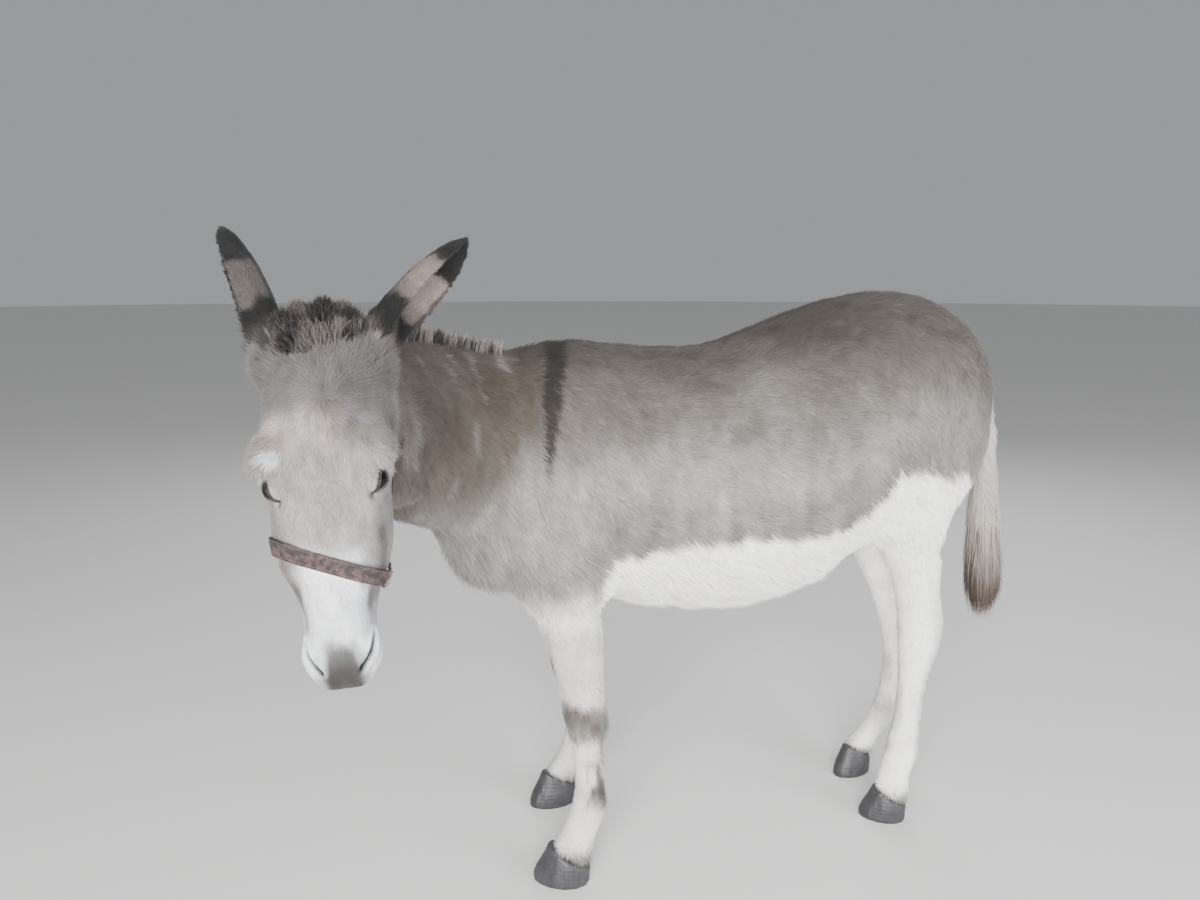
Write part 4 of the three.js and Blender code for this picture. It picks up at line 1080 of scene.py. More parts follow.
class Skin:
    """The finished skin's faces, to set hair on."""

    def __init__(self, mesh, shares):
        mesh.calc_loop_triangles()
        self.corners = read(mesh.loop_triangles, "vertices", 3, np.int32)
        self.co, self.no, self.shares = vertices_of(mesh), normals_of(mesh), shares
        p = self.co[self.corners]
        self.area = np.linalg.norm(np.cross(p[:, 1] - p[:, 0], p[:, 2] - p[:, 0]), axis=1) / 2
        self.middle = p.mean(1)
        self.region = shares[self.corners].sum(1).argmax(1)

    def scatter(self, weight, count):
        """Places spread evenly over the faces, as thick as the weight says."""
        total = np.cumsum(self.area * weight)
        spots = (np.arange(count) + rng.random(count)) / count * total[-1]
        face = np.minimum(np.searchsorted(total, spots), len(total) - 1)
        a, b = rng.random((2, count))
        over = a + b > 1
        a, b = np.where(over, 1 - a, a), np.where(over, 1 - b, b)
        weights = np.stack([1 - a - b, a, b], 1)[:, :, None]
        corner = self.corners[face]
        co = (self.co[corner] * weights).sum(1)
        normal = unit((self.no[corner] * weights).sum(1))
        shares = (self.shares[corner] * weights).sum(1)
        return co, normal, shares


def curved(root, way, fall, length, steps):
    """Paths of hairs that start one way and fall another."""
    t = np.linspace(0, 1, steps)[None, :, None]
    return root[:, None] + (way[:, None] * t + fall * t ** 2) * length[:, None, None]


# Each region's hairs: length, width, thickness and lift in radians.
HAIR = {"trunk": (0.0190, 0.0026, 0.0010, 0.33), "neck": (0.0230, 0.0028, 0.0011, 0.36),
        "head": (0.0095, 0.0016, 0.0007, 0.38), "ear": (0.0080, 0.0014, 0.0006, 0.24),
        "tail": (0.0240, 0.0024, 0.0009, 0.22), "leg": (0.0095, 0.0017, 0.0007, 0.28)}
hair_table = np.array([HAIR[kind_of(node)] for node in FLESH])


def unwrap_of(co, axis):
    """Places on a sheet rolled round the hairs' middle, from 0 to 1 both ways."""
    low, high = co.min(0), co.max(0)
    first, second = (k for k in range(3) if k != axis)
    away = co - (low + high) / 2
    round_way = np.arctan2(away[:, second], away[:, first]) / (2 * math.pi) + 0.5
    along = (co[:, axis] - low[axis]) / (high[axis] - low[axis])
    return np.clip(np.stack([round_way, along], 1), 0, 1)


def fuzz(co, normal, shares):
    """How much longer and rougher the hair is: ear roots, brows, jaw, chest, belly, leg backs."""
    q, d = head_axes(co), co - WITHERS
    more = 0.8 * np.exp(-(((d - (-0.17, 0, 0.70)) / (0.14, 0.30, 0.12)) ** 2).sum(1))
    for side in EAR_NODES:
        reach = np.linalg.norm(co - ear_roots[side], axis=1)
        more = np.maximum(more, fade(reach, 0.045, 0.085) * fade(ear_share(co, side), 0.10, 0.24))
    brow = np.exp(-(((q - (0.178, 0, 0.052)) * (1, 0, 1)) ** 2).sum(1) / 0.030 ** 2)
    brow *= smooth(np.abs(q[:, 1]), 0.05, 0.08)
    jaw = smooth(-q[:, 2], 0.03, 0.10) * smooth(q[:, 0], 0.02, 0.10) * fade(q[:, 0], 0.30, 0.42)
    belly = fade(d[:, 2], 0.64, 0.70) * smooth(d[:, 0], 0.05, 0.15) * fade(d[:, 0], 0.50, 0.62)
    leg_back = smooth(normal[:, 0], 0.15, 0.8) * smooth(d[:, 2], 0.12, 0.20) * fade(d[:, 2], 0.52, 0.60)
    for share in (0.9 * brow, 0.7 * jaw * shares[:, HEAD], 0.7 * belly * shares[:, TRUNK], 0.85 * leg_back):
        more = np.maximum(more, share)
    return more


def comb(co, normal, shares):
    """Directions, lengths and widths of the hairs at these places."""
    q = head_axes(co)
    length, width, thick, lift = (shares @ hair_table).T
    in_head = shares[:, HEAD]
    short = in_head * smooth(q[:, 0], 0.16, 0.46)
    up = (co - WITHERS)[:, 2]
    low_leg = fade(up, 0.10, 0.40) * (1 - in_head)
    size = (1 - 0.52 * short) * (1 - 0.30 * low_leg)
    size *= 1 - 0.5 * in_head * fade(nostril_distance(q), 0.008, 0.020)
    extra = fuzz(co, normal, shares)
    length *= size * (1 + 1.2 * extra) * (1 + 0.25 * lengths.at(co, 0.02)) * rng.uniform(0.75, 1.25, len(co))
    width *= (1 - 0.40 * short) * (1 - 0.2 * low_leg) * rng.uniform(0.75, 1.25, len(co))
    coronet = fade(up, 0.078, 0.105) * (1 - in_head)
    length *= 1 + coronet
    lift = lift + 0.12 * coronet + 0.30 * extra + 0.13 * lengths.at(co + 9, 0.03)
    lift += rng.uniform(-0.07, 0.07, len(co))
    near_eye, out = eye_closeness(co)
    length *= 1 - 0.55 * near_eye
    lift *= 1 - 0.4 * near_eye
    way = lie(co, normal, shares) + out * (1.6 * near_eye)[:, None]
    way = unit(way - normal * (way * normal).sum(1)[:, None])
    across = np.cross(normal, way)
    swing = 0.38 * bends.at(co, 0.060) + 0.42 * bends.at(co + 4, 0.013) + 0.10 * rng.normal(size=len(co))
    way = way * np.cos(swing)[:, None] + across * np.sin(swing)[:, None]
    return way, length, width, thick * size, lift


ROOT_DEPTH = 0.0008  # how far a hair's root sits under the skin


def fur_piece(name, skin, weight, count, material, axis, culled):
    co, normal, shares = skin.scatter(weight, count)
    kept = ~culled(co)
    co, normal, shares = co[kept], normal[kept], shares[kept]
    way, length, width, thick, lift = comb(co, normal, shares)
    side = unit(np.cross(normal, way))
    start = co - normal * ROOT_DEPTH
    tip = co + way * (length * np.cos(lift))[:, None] + normal * (length * np.sin(lift))[:, None]
    colour = coat_colour(co, normal, shares)
    colour *= 1 + 0.13 * rng.normal(size=(len(co), 1)).clip(-2, 2) + 0.10 * lengths.at(co + 5, 0.012)[:, None]
    paths = np.stack([start, tip], 1)
    mesh = hair_mesh(name, paths, side, width, thick, colour, normal, unwrap_of(co, axis))
    finish_piece(name, mesh, material, "coat")


# ---- Finishes --------------------------------------------------------------------------
def fur_finish(name, bump):
    finish = Finish(name, (0.4, 0.4, 0.4), 0.78)
    finish.put({"Specular IOR Level": 0.25, "Sheen Weight": 0.08, "Sheen Roughness": 0.6})
    tint = finish.attribute("tint", "Color")
    mottle = finish.noise(finish.stretched((1, 1, 0.4)), 240, 3)
    finish.put({"Base Color": finish.shaded(tint, mottle * 0.36 + 0.82)})
    hairs = finish.noise(finish.stretched((1, 1, 0.25)), 900, 2)
    finish.bump(hairs, bump, 0.0012)
    return finish.material


def horn_finish():
    finish = Finish("horn_finish", (0.2, 0.2, 0.2), 0.5)
    finish.put({"Specular IOR Level": 0.35})
    grain = finish.noise(finish.stretched((1, 1, 0.12)), 320, 3)
    patches = finish.noise(finish.stretched((1, 1, 1)), 38, 3)
    grained = finish.mixed(grain, (0.010, 0.010, 0.013), (0.045, 0.045, 0.050))
    colour = finish.mixed(patches ** 2, grained, (0.062, 0.060, 0.062))
    finish.put({"Base Color": colour, "Roughness": patches * 0.3 + 0.30})
    finish.bump(grain, 0.4, 0.001)
    return finish.material


def eye_finish():
    finish = Finish("eye_finish", (0.05, 0.03, 0.02), 0.16)
    finish.put({"Base Color": finish.attribute("tint", "Color"), "Specular IOR Level": 0.12,
                "Coat Weight": 0.16, "Coat Roughness": 0.04})
    return finish.material


RIBS_ALONG, RIBS_ACROSS = 2900, 3600  # the weave's ribs, in radians per metre
STITCH_PITCH = 1150
STITCH_ROW, STITCH_HALF = 0.0088, 0.0005  # how far out the stitches run, and half their width


def webbing_finish(name, ground, light, share):
    """Woven strap: mottled colour, ribs, and a row of stitches near each edge."""
    finish = Finish(name, ground, 0.85)
    along, across = finish.attribute("along"), finish.attribute("across")
    flat = finish.node("ShaderNodeCombineXYZ", None, {"X": along, "Y": across * 1.6})
    wide, fine = finish.noise(flat, 62, 2), finish.noise(flat, 170, 2)
    patches, spots = ((wide - 0.5) * 5 + 0.5).held(), ((fine - 0.47) * 7).held()
    colour = finish.mixed(patches * share, ground, light)
    colour = finish.mixed(spots * 0.55, colour, (0.018, 0.012, 0.013))
    weave = (along * RIBS_ALONG).sine() * (across * RIBS_ACROSS).sine()
    row = abs(abs(across) - STITCH_ROW) < STITCH_HALF
    stitches = row * ((along * STITCH_PITCH).sine() > -0.2)
    colour = finish.mixed(stitches * 0.5, colour, (0.16, 0.12, 0.11))
    finish.put({"Base Color": finish.shaded(colour, weave * 0.10 + 0.92)})
    finish.bump(weave + stitches, 0.5, 0.0006)
    return finish.material


# ---- Eyes and lids ---------------------------------------------------------------------
def tube(points, radius, sides=10):
    """A closed ring of tube through points, as a bmesh."""
    bm = bmesh.new()
    points = [Vector(point) for point in points]
    centre = sum(points, Vector()) / len(points)
    for k, point in enumerate(points):
        run = (points[(k + 1) % len(points)] - points[k - 1]).normalized()
        out = point - centre
        out = (out - run * out.dot(run)).normalized()
        place = Matrix((out.cross(run), out, run)).transposed().to_4x4()
        place.translation = point
        bmesh.ops.create_circle(bm, segments=sides, radius=radius, matrix=place)
    bm.edges.ensure_lookup_table()
    rings = [bm.edges[k:k + sides] for k in range(0, len(bm.edges), sides)]
    for k, ring in enumerate(rings):
        bmesh.ops.bridge_loops(bm, edges=rings[k - 1] + ring)
    bmesh.ops.recalc_face_normals(bm, faces=bm.faces)
    return bm


PUPIL_LONG, PUPIL_HIGH, IRIS = 0.0064, 0.0036, 0.0138
IRIS_DARK, IRIS_BROWN, IRIS_RIM = paint(16, 10, 8), paint(34, 21, 13), paint(10, 8, 8)
EYE_WHITE, PUPIL = paint(24, 18, 16), paint(6, 6, 9)  # a donkey's eye shows almost no white


def make_eye(side, node, material):
    centre, look, along, up = eye_axes(side)
    bm = bmesh.new()
    bmesh.ops.create_uvsphere(bm, u_segments=72, v_segments=48, radius=BALL_RADIUS)
    frame_matrix = Matrix((along, up, look)).transposed()
    for vert in bm.verts:
        vert.co = frame_matrix @ vert.co + centre
    bmesh.ops.recalc_face_normals(bm, faces=bm.faces)
    piece = finish_piece(node.replace("eye_", "eyeball_"), bm, material, "eye", [node])
    co = vertices_of(piece.data)
    a, b, h, _ = eye_frame(co, side)
    reach = np.hypot(a, b)
    spokes = 0.5 + 0.5 * fine_blotches.at(np.stack([np.arctan2(b, a) * 9, reach * 160, h * 0], 1), 1.0)
    colour = blend(same(IRIS_DARK, co), IRIS_BROWN, spokes * smooth(reach, 0.004, 0.011))
    colour = blend(colour, IRIS_RIM, smooth(reach, IRIS - 0.0022, IRIS))
    colour = blend(colour, EYE_WHITE, smooth(reach, IRIS + 0.0002, IRIS + 0.0016) * 0.8)
    pupil = np.hypot(a / PUPIL_LONG, b / PUPIL_HIGH)
    colour = blend(colour, PUPIL, fade(pupil, 0.9, 1.1) * (h > 0))
    put_tint(piece.data, colour)


def lid_edge(side, count, grow, rise):
    """Places along the eye's opening."""
    centre, look, along, up = eye_axes(side)
    places = []
    for k in range(count):
        angle = 2 * math.pi * k / count
        a = LID_LENGTH * math.cos(angle)
        half = (LID_UP if math.sin(angle) > 0 else LID_DOWN) + grow
        b = math.copysign(half * (1 - abs(math.cos(angle)) ** LID_CURVE), math.sin(angle))
        h = math.sqrt(max(BALL_RADIUS ** 2 - a * a - b * b, 0)) + rise
        places.append(centre + along * a + up * b + look * h)
    return places


LASHES = 104  # places for lashes round the whole opening
UPPER_LASHES = slice(6, 44)  # those on the upper lid
LASH_KEPT = 0.8  # the share of them that has a lash
LASH_WIDTH, LASH_THICK = 0.0007, 0.0005
LASH_FALL = 0.45


def make_lashes(side, material):
    _, look, along, up = (np.array(way) for way in eye_axes(side))
    edge = np.array(lid_edge(side, LASHES, 0.0008, 0.0012))[UPPER_LASHES]
    edge = edge[rng.random(len(edge)) < LASH_KEPT]
    count = len(edge)
    length = rng.uniform(0.006, 0.012, count)
    way = unit(look * 0.8 + up * rng.uniform(0.5, 1.1, (count, 1))
               + along * rng.uniform(-0.2, 0.9, (count, 1)))
    paths = curved(edge, way, np.array((0, 0, -LASH_FALL)), length, 5)
    colour = same(paint(40, 34, 31), edge) * rng.uniform(0.6, 1.8, (count, 1))
    across = unit(np.cross(way, same(look + 0.4 * up, edge)))
    mesh = hair_mesh("lashes", paths, across, np.full(count, LASH_WIDTH), np.full(count, LASH_THICK),
                     colour, same(up, edge), rng.random((count, 2)))
    finish_piece("lashes_left" if side > 0 else "lashes_right", mesh, material, "long_hair")


# ---- Hooves ----------------------------------------------------------------------------
HOOF_VOXEL = 0.0024
RING_PITCH, RING_HEIGHT = 0.0085, 0.00022
GRAIN_HEIGHT = 0.0005
HOOF_TOP = 0.045  # over the sole
TOP_ROUNDS, TOP_SHARE = 26, 0.6  # how much the top edge is worn smooth
TOP_DRAWN_IN = 0.11
SOLE_FLAT = 0.0022


def make_hoof(node, material):
    mesh = remeshed(merged_copy(node), HOOF_VOXEL)
    spread = Spread(mesh)
    co = vertices_of(mesh)
    sole = co[:, 2].min()
    co = spread.relax(co, 6, 0.6)
    top = smooth(co[:, 2] - sole, 0.030, HOOF_TOP)[:, None] * TOP_SHARE
    for _ in range(TOP_ROUNDS):
        co += (spread.average(co) - co) * top
    high = co[co[:, 2] > sole + HOOF_TOP].mean(0)
    co[:, :2] -= (co - high)[:, :2] * TOP_DRAWN_IN * smooth(co[:, 2] - sole, 0.022, 0.070)[:, None]
    co[:, 2] = np.where(co[:, 2] < sole + SOLE_FLAT, sole, co[:, 2])
    put_vertices(mesh, co)
    no = normals_of(mesh)
    level = co[:, 2] + 0.002 * blotches.at(co, 0.03)
    ridge = np.cos(level / RING_PITCH * 2 * math.pi) * RING_HEIGHT
    ridge += GRAIN_HEIGHT * fine_blotches.at(co * (1, 1, 0.2), 0.006)
    wall = fade(np.abs(no[:, 2]), 0.6, 0.9) * smooth(co[:, 2], sole + 0.002, sole + 0.008)
    put_vertices(mesh, co + no * (ridge * wall)[:, None])
    finish_piece(node.replace("hoof", "_hoof"), mesh, material, "horn", [node])


# ---- Halter ----------------------------------------------------------------------------
STRAP_VOXEL = 0.0015
STRAP_ROUNDS = 26
STRAP_IN, STRAP_OUT = 0.60, 0.62  # each round smooths a strap and then swells it again
EAR_SINK = 0.0035  # how much deeper the headstall lies in the hair beside the ears
# How deep each strap sinks into the coat.
STRAP_SINK = {"halter_noseband": 0.0015, "halter_chinband": 0.0010, "halter_headstall": 0.0080}


def make_strap(node, material):
    """A strap smoothed from its CAD solid, sunk a little into the coat."""
    mesh = remeshed(merged_copy(node), STRAP_VOXEL)
    spread = Spread(mesh)
    co = vertices_of(mesh)
    for _ in range(STRAP_ROUNDS):
        co += (spread.average(co) - co) * STRAP_IN
        co -= (spread.average(co) - co) * STRAP_OUT
    middle = co.mean(0)
    axes = np.linalg.svd(co - middle, full_matrices=False)[2]
    flat = (co - middle) @ axes.T
    reach = np.hypot(flat[:, 0], flat[:, 1])
    down = head_axes(co)[:, 0]
    beside = smooth(down, 0.04, 0.08) * fade(down, 0.15, 0.19)
    co -= unit(co - middle) * (STRAP_SINK[node] + EAR_SINK * beside)[:, None]
    put_vertices(mesh, co)
    put_lengths(mesh, along=np.arctan2(flat[:, 1], flat[:, 0]) * reach.mean(), across=flat[:, 2])
    return finish_piece(node.replace("halter_", "halter_band_"), mesh, material, "webbing", [node])


RING_WIRE = 0.0026


def ring_place(node):
    """A CAD ring's vertices, its middle and the radius to the middle of its wire."""
    co = vertices_of(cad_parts[node].data)
    middle = (co.min(0) + co.max(0)) / 2
    return co, middle, np.linalg.norm(co - middle, axis=1).max() - RING_WIRE


def make_ring(node, material):
    co, middle, radius = ring_place(node)
    axes = np.linalg.svd(co - co.mean(0), full_matrices=False)[2]
    turns = np.linspace(0, 2 * math.pi, 64, endpoint=False)
    points = [middle + (axes[0] * math.cos(t) + axes[1] * math.sin(t)) * radius for t in turns]
    ring = tube(points, RING_WIRE, 16)
    finish_piece(node.replace("ring", "metal_ring"), ring, material, "ring_metal", [node])


LOOP_HALF = 0.0042  # half the thickness of a loop where it turns round the ring
LOOP_REACH = 0.004  # how far it runs on into its strap
LOOP_WIDTH = 0.86  # its width as a share of the strap's


def make_loop(strap_node, ring_node, material):
    """The fold of webbing that carries a strap's end round its ring."""
    _, centre, radius = ring_place(ring_node)
    # The strap's end is its four corners nearest the ring.
    strap = np.unique(vertices_of(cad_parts[strap_node].data).round(5), axis=0)
    end = strap[np.argsort(np.linalg.norm(strap - centre, axis=1))[:4]]
    edges = end[:, None] - end[None]
    longest = np.unravel_index(np.linalg.norm(edges, axis=2).argmax(), (4, 4))
    toward = centre - end.mean(0)
    toward /= np.linalg.norm(toward)
    wide = edges[longest] - toward * (edges[longest] @ toward)
    half = np.linalg.norm(wide) / 2
    wide /= np.linalg.norm(wide)
    out = np.cross(toward, wide)
    wire = centre - toward * radius
    bm = bmesh.new()
    for corner in end:
        bm.verts.new(corner - toward * LOOP_REACH)
    for sign in (-1, 1):
        for angle in np.linspace(0, 2 * math.pi, 20, endpoint=False):
            turn = toward * math.cos(angle) + out * math.sin(angle)
            bm.verts.new(wire + wide * (sign * half * LOOP_WIDTH) + turn * LOOP_HALF)
    hull = bmesh.ops.convex_hull(bm, input=bm.verts)
    spare = [item for item in hull["geom_interior"] if isinstance(item, bmesh.types.BMVert)]
    bmesh.ops.delete(bm, geom=spare, context="VERTS")
    bmesh.ops.recalc_face_normals(bm, faces=bm.faces)
    side = ring_node.rsplit("_", 1)[1]
    name = strap_node.replace("halter_", "halter_loop_") + "_" + side
    piece = finish_piece(name, bm, material, "webbing")
    piece.data.shade_flat()
    co = vertices_of(piece.data) - wire
    put_lengths(piece.data, along=co @ toward, across=co @ wide)


# ---- Mane, forelock and tail -----------------------------------------------------------
def distance_to(tree, places, reach):
    found = [tree.find_nearest(place, reach)[3] for place in places.tolist()]
    return np.array([reach if away is None else away for away in found])


def near_node(skin, node, reach):
    """1 on the skin's faces close to a CAD node."""
    co = vertices_of(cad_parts[node].data)
    low, high = co.min(0) - reach, co.max(0) + reach
    inside = ((skin.middle > low) & (skin.middle < high)).all(1)
    weight = np.zeros(len(skin.middle))
    spots = np.nonzero(inside)[0]
    weight[spots] = distance_to(tree_of(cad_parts[node].data), skin.middle[spots], reach) < reach
    return weight


def gathered(paths, centres, share):
    """Draws the hairs' ends together into clumps, and tells each hair's clump."""
    root, tips = paths[:, 0], paths[:, -1]
    group = np.argmin(((root[:, None] - centres[None]) ** 2).sum(2), 1)
    count = np.maximum(np.bincount(group, minlength=len(centres)), 1)
    mean = np.stack([np.bincount(group, weights=tips[:, k], minlength=len(centres)) / count
                     for k in range(3)], 1)
    steps = np.linspace(0, 1, paths.shape[1])[None, :, None]
    return paths + (mean[group] - tips)[:, None] * share * steps ** 1.5, group


def lock_piece(name, paths, normal, width, thick, colour, material, node):
    run = unit(paths[:, 1] - paths[:, 0])
    side = unit(np.cross(run, normal) + 1e-6)
    thick = np.full(len(paths), thick)
    mesh = hair_mesh(name, paths, side, width, thick, colour, normal, unwrap_of(paths[:, 0], 2))
    finish_piece(name, mesh, material, "long_hair", [node])


MANE_HAIRS, MANE_CLUMPS, MANE_STEPS = 1600, 80, 5
MANE_REACH = 0.017  # how far from the CAD mane its hairs may root
MANE_LENGTHS = (0.040, 0.058)
MANE_PALE, MANE_DARK = paint(140, 132, 125), paint(30, 26, 24)
HAIR_THICK = {"mane": 0.0011, "forelock": 0.0009, "tail": 0.0013}


def make_mane(skin, material):
    co, normal, _ = skin.scatter(near_node(skin, "mane", MANE_REACH), MANE_HAIRS)
    count = len(co)
    top = vertices_of(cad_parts["mane"].data)
    high = top[np.argmin(((co[:, None, :2] - top[None, :, :2]) ** 2).sum(2), 1), 2]
    length = np.clip(high - co[:, 2], *MANE_LENGTHS) * rng.uniform(0.62, 1.18, count)
    way = unit(normal * 0.35 + np.array((0.10, 0.10, 1.0)) + 0.16 * rng.normal(size=(count, 3)))
    paths = curved(co - normal * 0.001, way, np.array((0.05, 0.03, -0.10)), length, MANE_STEPS)
    paths, group = gathered(paths, co[rng.choice(count, MANE_CLUMPS, replace=False)], 0.55)
    pale = rng.random(MANE_CLUMPS)[group] + 0.25 * rng.normal(size=count) > 0.30
    colour = np.where(pale[:, None], MANE_PALE, MANE_DARK) * rng.uniform(0.75, 1.2, (count, 1))
    colour = colour[:, None] * np.linspace(0.55, 1.1, MANE_STEPS)[None, :, None]
    width = rng.uniform(0.0019, 0.0034, count)
    lock_piece("mane_hair", paths, normal, width, HAIR_THICK["mane"], colour, material, "mane")


# Tufts of the forelock in head axes: place, length, and whether dark.
FORELOCK_TUFTS = [((0.010, -0.046), 0.052, 1), ((0.012, -0.034), 0.062, 1), ((0.018, -0.022), 0.058, 1),
                  ((0.020, -0.008), 0.040, 0), ((0.008, 0.004), 0.060, 1), ((0.026, 0.012), 0.040, 0),
                  ((0.006, 0.022), 0.050, 1), ((0.020, 0.034), 0.044, 0), ((0.004, 0.046), 0.046, 1),
                  ((0.034, -0.034), 0.046, 1), ((0.040, -0.010), 0.034, 0), ((0.030, 0.048), 0.030, 1),
                  ((-0.010, -0.020), 0.050, 0), ((-0.012, 0.014), 0.050, 1), ((-0.012, 0.036), 0.044, 0)]


FORELOCK_HAIRS, FORELOCK_STEPS = 3600, 6
FORELOCK_REACH = 0.016
FORELOCK_DARK, FORELOCK_PALE = paint(24, 20, 19), paint(78, 73, 70)


def make_forelock(skin, material):
    co, normal, _ = skin.scatter(near_node(skin, "forelock", FORELOCK_REACH), FORELOCK_HAIRS)
    q = head_axes(co)
    places, tuft_lengths, darks = (np.array(column) for column in zip(*FORELOCK_TUFTS))
    away = np.linalg.norm(q[:, None, :2] - places[None], axis=2)
    group, away = away.argmin(1), away.min(1)
    kept = rng.random(len(co)) > smooth(away, 0.008, 0.026) * 0.75 + smooth(q[:, 0], 0.02, 0.06)
    co, normal, q, group, away = co[kept], normal[kept], q[kept], group[kept], away[kept]
    count = len(co)
    reach = tuft_lengths[group] * (1 - 0.35 * smooth(away, 0.004, 0.016))
    front = smooth(q[:, 0], 0.0, 0.05)[:, None]
    way = unit(np.array(down_way) * (0.75 * front - 1.15) + np.array(face_way) * (0.50 + 0.35 * front)
               + np.array(left_way) * (q[:, 1:2] * 5) + 0.24 * rng.normal(size=(count, 3)))
    length = reach * rng.uniform(0.75, 1.1, count)
    paths = curved(co - normal * 0.001, way, np.array(down_way) * 0.22, length, FORELOCK_STEPS)
    centres = np.stack([co[group == k].mean(0) if (group == k).any() else np.full(3, FAR)
                        for k in range(len(places))])
    paths, _ = gathered(paths, centres, 0.36)
    dark = darks[group] * fade(away, 0.006, 0.016) + 0.25 * rng.normal(size=count) > 0.5
    colour = np.where(dark[:, None], FORELOCK_DARK, FORELOCK_PALE) * rng.uniform(0.7, 1.3, (count, 1))
    width = rng.uniform(0.0013, 0.0026, count)
    lock_piece("forelock_hair", paths, normal, width, HAIR_THICK["forelock"], colour, material, "forelock")


TAIL_LOW, TAIL_HIGH = 0.405, 0.93  # heights over the floor
TAIL_HAIRS, TAIL_STEPS, TAIL_CLUMPS = 2700, 6, 60
TAIL_ROOTS = (0.600, 0.840)  # the heights between which the long hairs leave the tail
TAIL_LENGTHS = (0.16, 0.34)
TAIL_SHADED_SIDE = (2.6, 4.2)  # the side of the tail, as an angle, where more hairs are dark: partly dark hair, partly painted shade


def tail_middle(up):
    """The tail's middle and half widths at a height over the floor."""
    nodes = [vertices_of(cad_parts[node].data) for node in ("tail", "tail_switch")]
    co = np.concatenate(nodes) - WITHERS
    levels = np.linspace(TAIL_LOW + 0.01, TAIL_HIGH, 12)
    rows = [co[np.abs(co[:, 2] - level) < 0.045] for level in levels]
    low, high = np.array([r.min(0) for r in rows]), np.array([r.max(0) for r in rows])
    middle, half = (low + high) / 2, (high - low) / 2
    return [np.interp(up, levels, values) for values in (*middle.T[:2], *half.T[:2])]


def make_tail_hair(material):
    count, steps = TAIL_HAIRS, TAIL_STEPS
    start = TAIL_ROOTS[0] + (TAIL_ROOTS[1] - TAIL_ROOTS[0]) * rng.random(count)
    angle = rng.uniform(0, 2 * math.pi, count)
    depth = np.sqrt(rng.uniform(0.15, 1.0, count))
    length = rng.uniform(*TAIL_LENGTHS, count)
    end = np.maximum(start - length, TAIL_LOW + 0.004 + 0.13 * rng.random(count) ** 1.5)
    paths = np.empty((count, steps, 3))
    sway = 0.006 * rng.normal(size=(count, 2))
    for k, t in enumerate(np.linspace(0, 1, steps)):
        up = start + (end - start) * t
        x, y, half_x, half_y = tail_middle(up)
        out = (0.50 + 0.48 * t ** 0.5) * depth * (1 - 0.45 * smooth(0.52 - up, 0.0, 0.11))
        paths[:, k, 0] = x + np.cos(angle) * half_x * out + sway[:, 0] * t
        paths[:, k, 1] = y + np.sin(angle) * half_y * out + sway[:, 1] * t
        paths[:, k, 2] = up
    paths += WITHERS
    normal = np.stack([np.cos(angle), np.sin(angle), np.zeros(count)], 1)
    paths, _ = gathered(paths, paths[rng.choice(count, TAIL_CLUMPS, replace=False), 0], 0.25)
    colour = tail_colour(paths.reshape(-1, 3) - WITHERS).reshape(count, steps, 3)
    # The extra dark hairs on this side of the tail are partly painted shade.
    shaded_side = (angle > TAIL_SHADED_SIDE[0]) & (angle < TAIL_SHADED_SIDE[1])
    dark = rng.random(count) < np.where(shaded_side, 0.30, 0.05)
    colour = np.where(dark[:, None, None], TAIL_BROWN * 0.6, colour) * rng.uniform(0.78, 1.18, (count, 1, 1))
    width = rng.uniform(0.0023, 0.0042, count)
    lock_piece("tail_hair", paths, normal, width, HAIR_THICK["tail"], colour, material, "tail_switch")


# ---- Everything ------------------------------------------------------------------------
SKIN_SHADE = 0.86  # the skin under the hair is darker than the hair
SKIN_BLEND = 12  # rounds that mix two regions' looks where they meet
STRAP_CLEAR = 0.0062  # no hair roots this close to a strap, apart from a share near the ears
HAIR_OVER_STRAP = 0.65
TRUNK_SPLIT = 0.42  # behind the withers, where the coat's fore and hind pieces meet
JAW_LINE = -0.02  # and where the face's and the jaw's meet, in head axes


def hairless(places):
    """True in the nostrils, between the lips and at the eyelids' edges."""
    q = head_axes(places)
    bare = (nostril_distance(q) < 0.0048) | ((mouth_distance(q) < 0.002) & (q[:, 0] > 0.44))
    for side in (-1, 1):
        a, b, h, gap = eye_frame(places, side)
        bare |= (gap < 0.0044) & (h > -0.004) & (np.hypot(a, b) < 0.03)
    return bare


def never(co):
    return np.zeros(len(co), bool)


def under_straps(co):
    covered = np.zeros(len(co), bool)
    for tree in strap_trees:
        covered |= distance_to(tree, co, STRAP_CLEAR) < STRAP_CLEAR
    return covered & ((head_axes(co)[:, 0] > 0.17) | (rng.random(len(co)) < 1 - HAIR_OVER_STRAP))


def on(kind):
    """True on the skin's faces over the nodes with this word in their names."""
    wanted = [index for index, node in enumerate(FLESH) if kind in node]
    return np.isin(skin.region, wanted)


make_camera()
make_studio()
skin_mesh = make_skin_mesh()
skin_places = vertices_of(skin_mesh)
skin_shares = Spread(skin_mesh).relax(np.eye(len(FLESH))[region_of(skin_places)], SKIN_BLEND, 0.6)
put_tint(skin_mesh, coat_colour(skin_places, normals_of(skin_mesh), skin_shares) * SKIN_SHADE)
fur = fur_finish("coat_finish", 0.5)
finish_piece("skin", skin_mesh, fur, "coat", FLESH)
skin = Skin(skin_mesh, skin_shares)

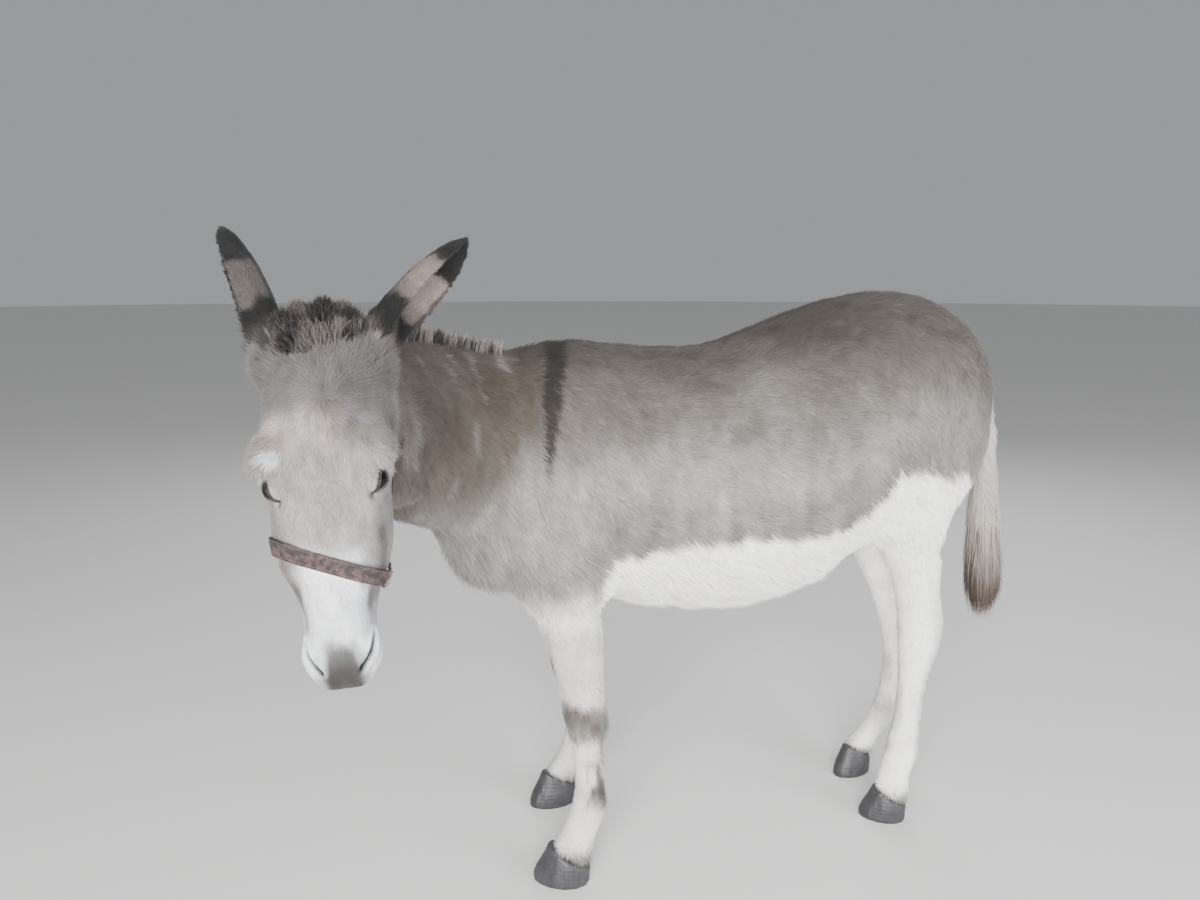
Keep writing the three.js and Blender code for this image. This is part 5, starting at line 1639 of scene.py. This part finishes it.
eye_material = eye_finish()
lid_material = Finish("lid_finish", (0.022, 0.017, 0.016), 0.32).material
long_hair = fur_finish("long_hair_finish", 0.4)
for eye_side, node in ((1, "eye_left"), (-1, "eye_right")):
    make_eye(eye_side, node, eye_material)
    rim = tube(lid_edge(eye_side, 72, 0.0002, 0.0012), LID_EDGE)
    finish_piece(node.replace("eye_", "lid_edge_"), rim, lid_material, "coat")
    make_lashes(eye_side, long_hair)
horn = horn_finish()
for node in ("forehoof_left", "forehoof_right", "hindhoof_left", "hindhoof_right"):
    make_hoof(node, horn)
nose_webbing = webbing_finish("nose_webbing", (0.020, 0.015, 0.017), (0.100, 0.060, 0.056), 0.75)
dark_webbing = webbing_finish("dark_webbing", (0.016, 0.009, 0.008), (0.036, 0.019, 0.016), 0.6)
tan_webbing = webbing_finish("tan_webbing", (0.10, 0.072, 0.052), (0.24, 0.185, 0.145), 0.7)
# Each strap's webbing, and that of its loops round the rings.
strap_webbing = {"halter_noseband": (nose_webbing, tan_webbing),
                 "halter_chinband": (nose_webbing, nose_webbing),
                 "halter_headstall": (dark_webbing, dark_webbing)}
strap_trees = [tree_of(make_strap(node, webbing).data) for node, (webbing, _) in strap_webbing.items()]
steel = Finish("ring_steel", (0.32, 0.31, 0.30), 0.38, Metallic=1.0).material
for ring_node in ("halter_ring_left", "halter_ring_right"):
    make_ring(ring_node, steel)
    for strap_node, (_, webbing) in strap_webbing.items():
        make_loop(strap_node, ring_node, webbing)

face_places = head_axes(skin.middle)
left_side = skin.middle[:, 1] < WITHERS[1]
fore_part = skin.middle[:, 0] < WITHERS[0] + TRUNK_SPLIT
upper_face = face_places[:, 2] > JAW_LINE
trunk = on("trunk")
face = on("head") * ~hairless(skin.middle) * (1 + 1.6 * smooth(face_places[:, 0], 0.16, 0.46))
# Each piece of coat: name, where it grows, hairs, the axis it unwraps round and what is left out.
fur_pieces = [
    ("coat_trunk_fore_left", trunk & left_side & fore_part, 33000, 0, never),
    ("coat_trunk_fore_right", trunk & ~left_side & fore_part, 27000, 0, never),
    ("coat_trunk_hind_left", trunk & left_side & ~fore_part, 31000, 0, never),
    ("coat_trunk_hind_right", trunk & ~left_side & ~fore_part, 26000, 0, never),
    ("coat_neck", on("neck"), 39000, 1, under_straps),
    ("coat_face", face * upper_face, 44000, 2, under_straps),
    ("coat_jaw", face * ~upper_face, 20000, 2, under_straps),
    ("coat_ears", on("ear_"), 32000, 2, under_straps),
    ("coat_tail", on("tail"), 6000, 2, never),
    ("coat_forelegs", on("foreleg"), 28000, 2, never),
    ("coat_hindlegs", on("hindleg"), 30000, 2, never),
]
for name, weight, count, axis, culled in fur_pieces:
    fur_piece(name, skin, weight, count, fur, axis, culled)
make_mane(skin, long_hair)
make_forelock(skin, long_hair)
make_tail_hair(long_hair)
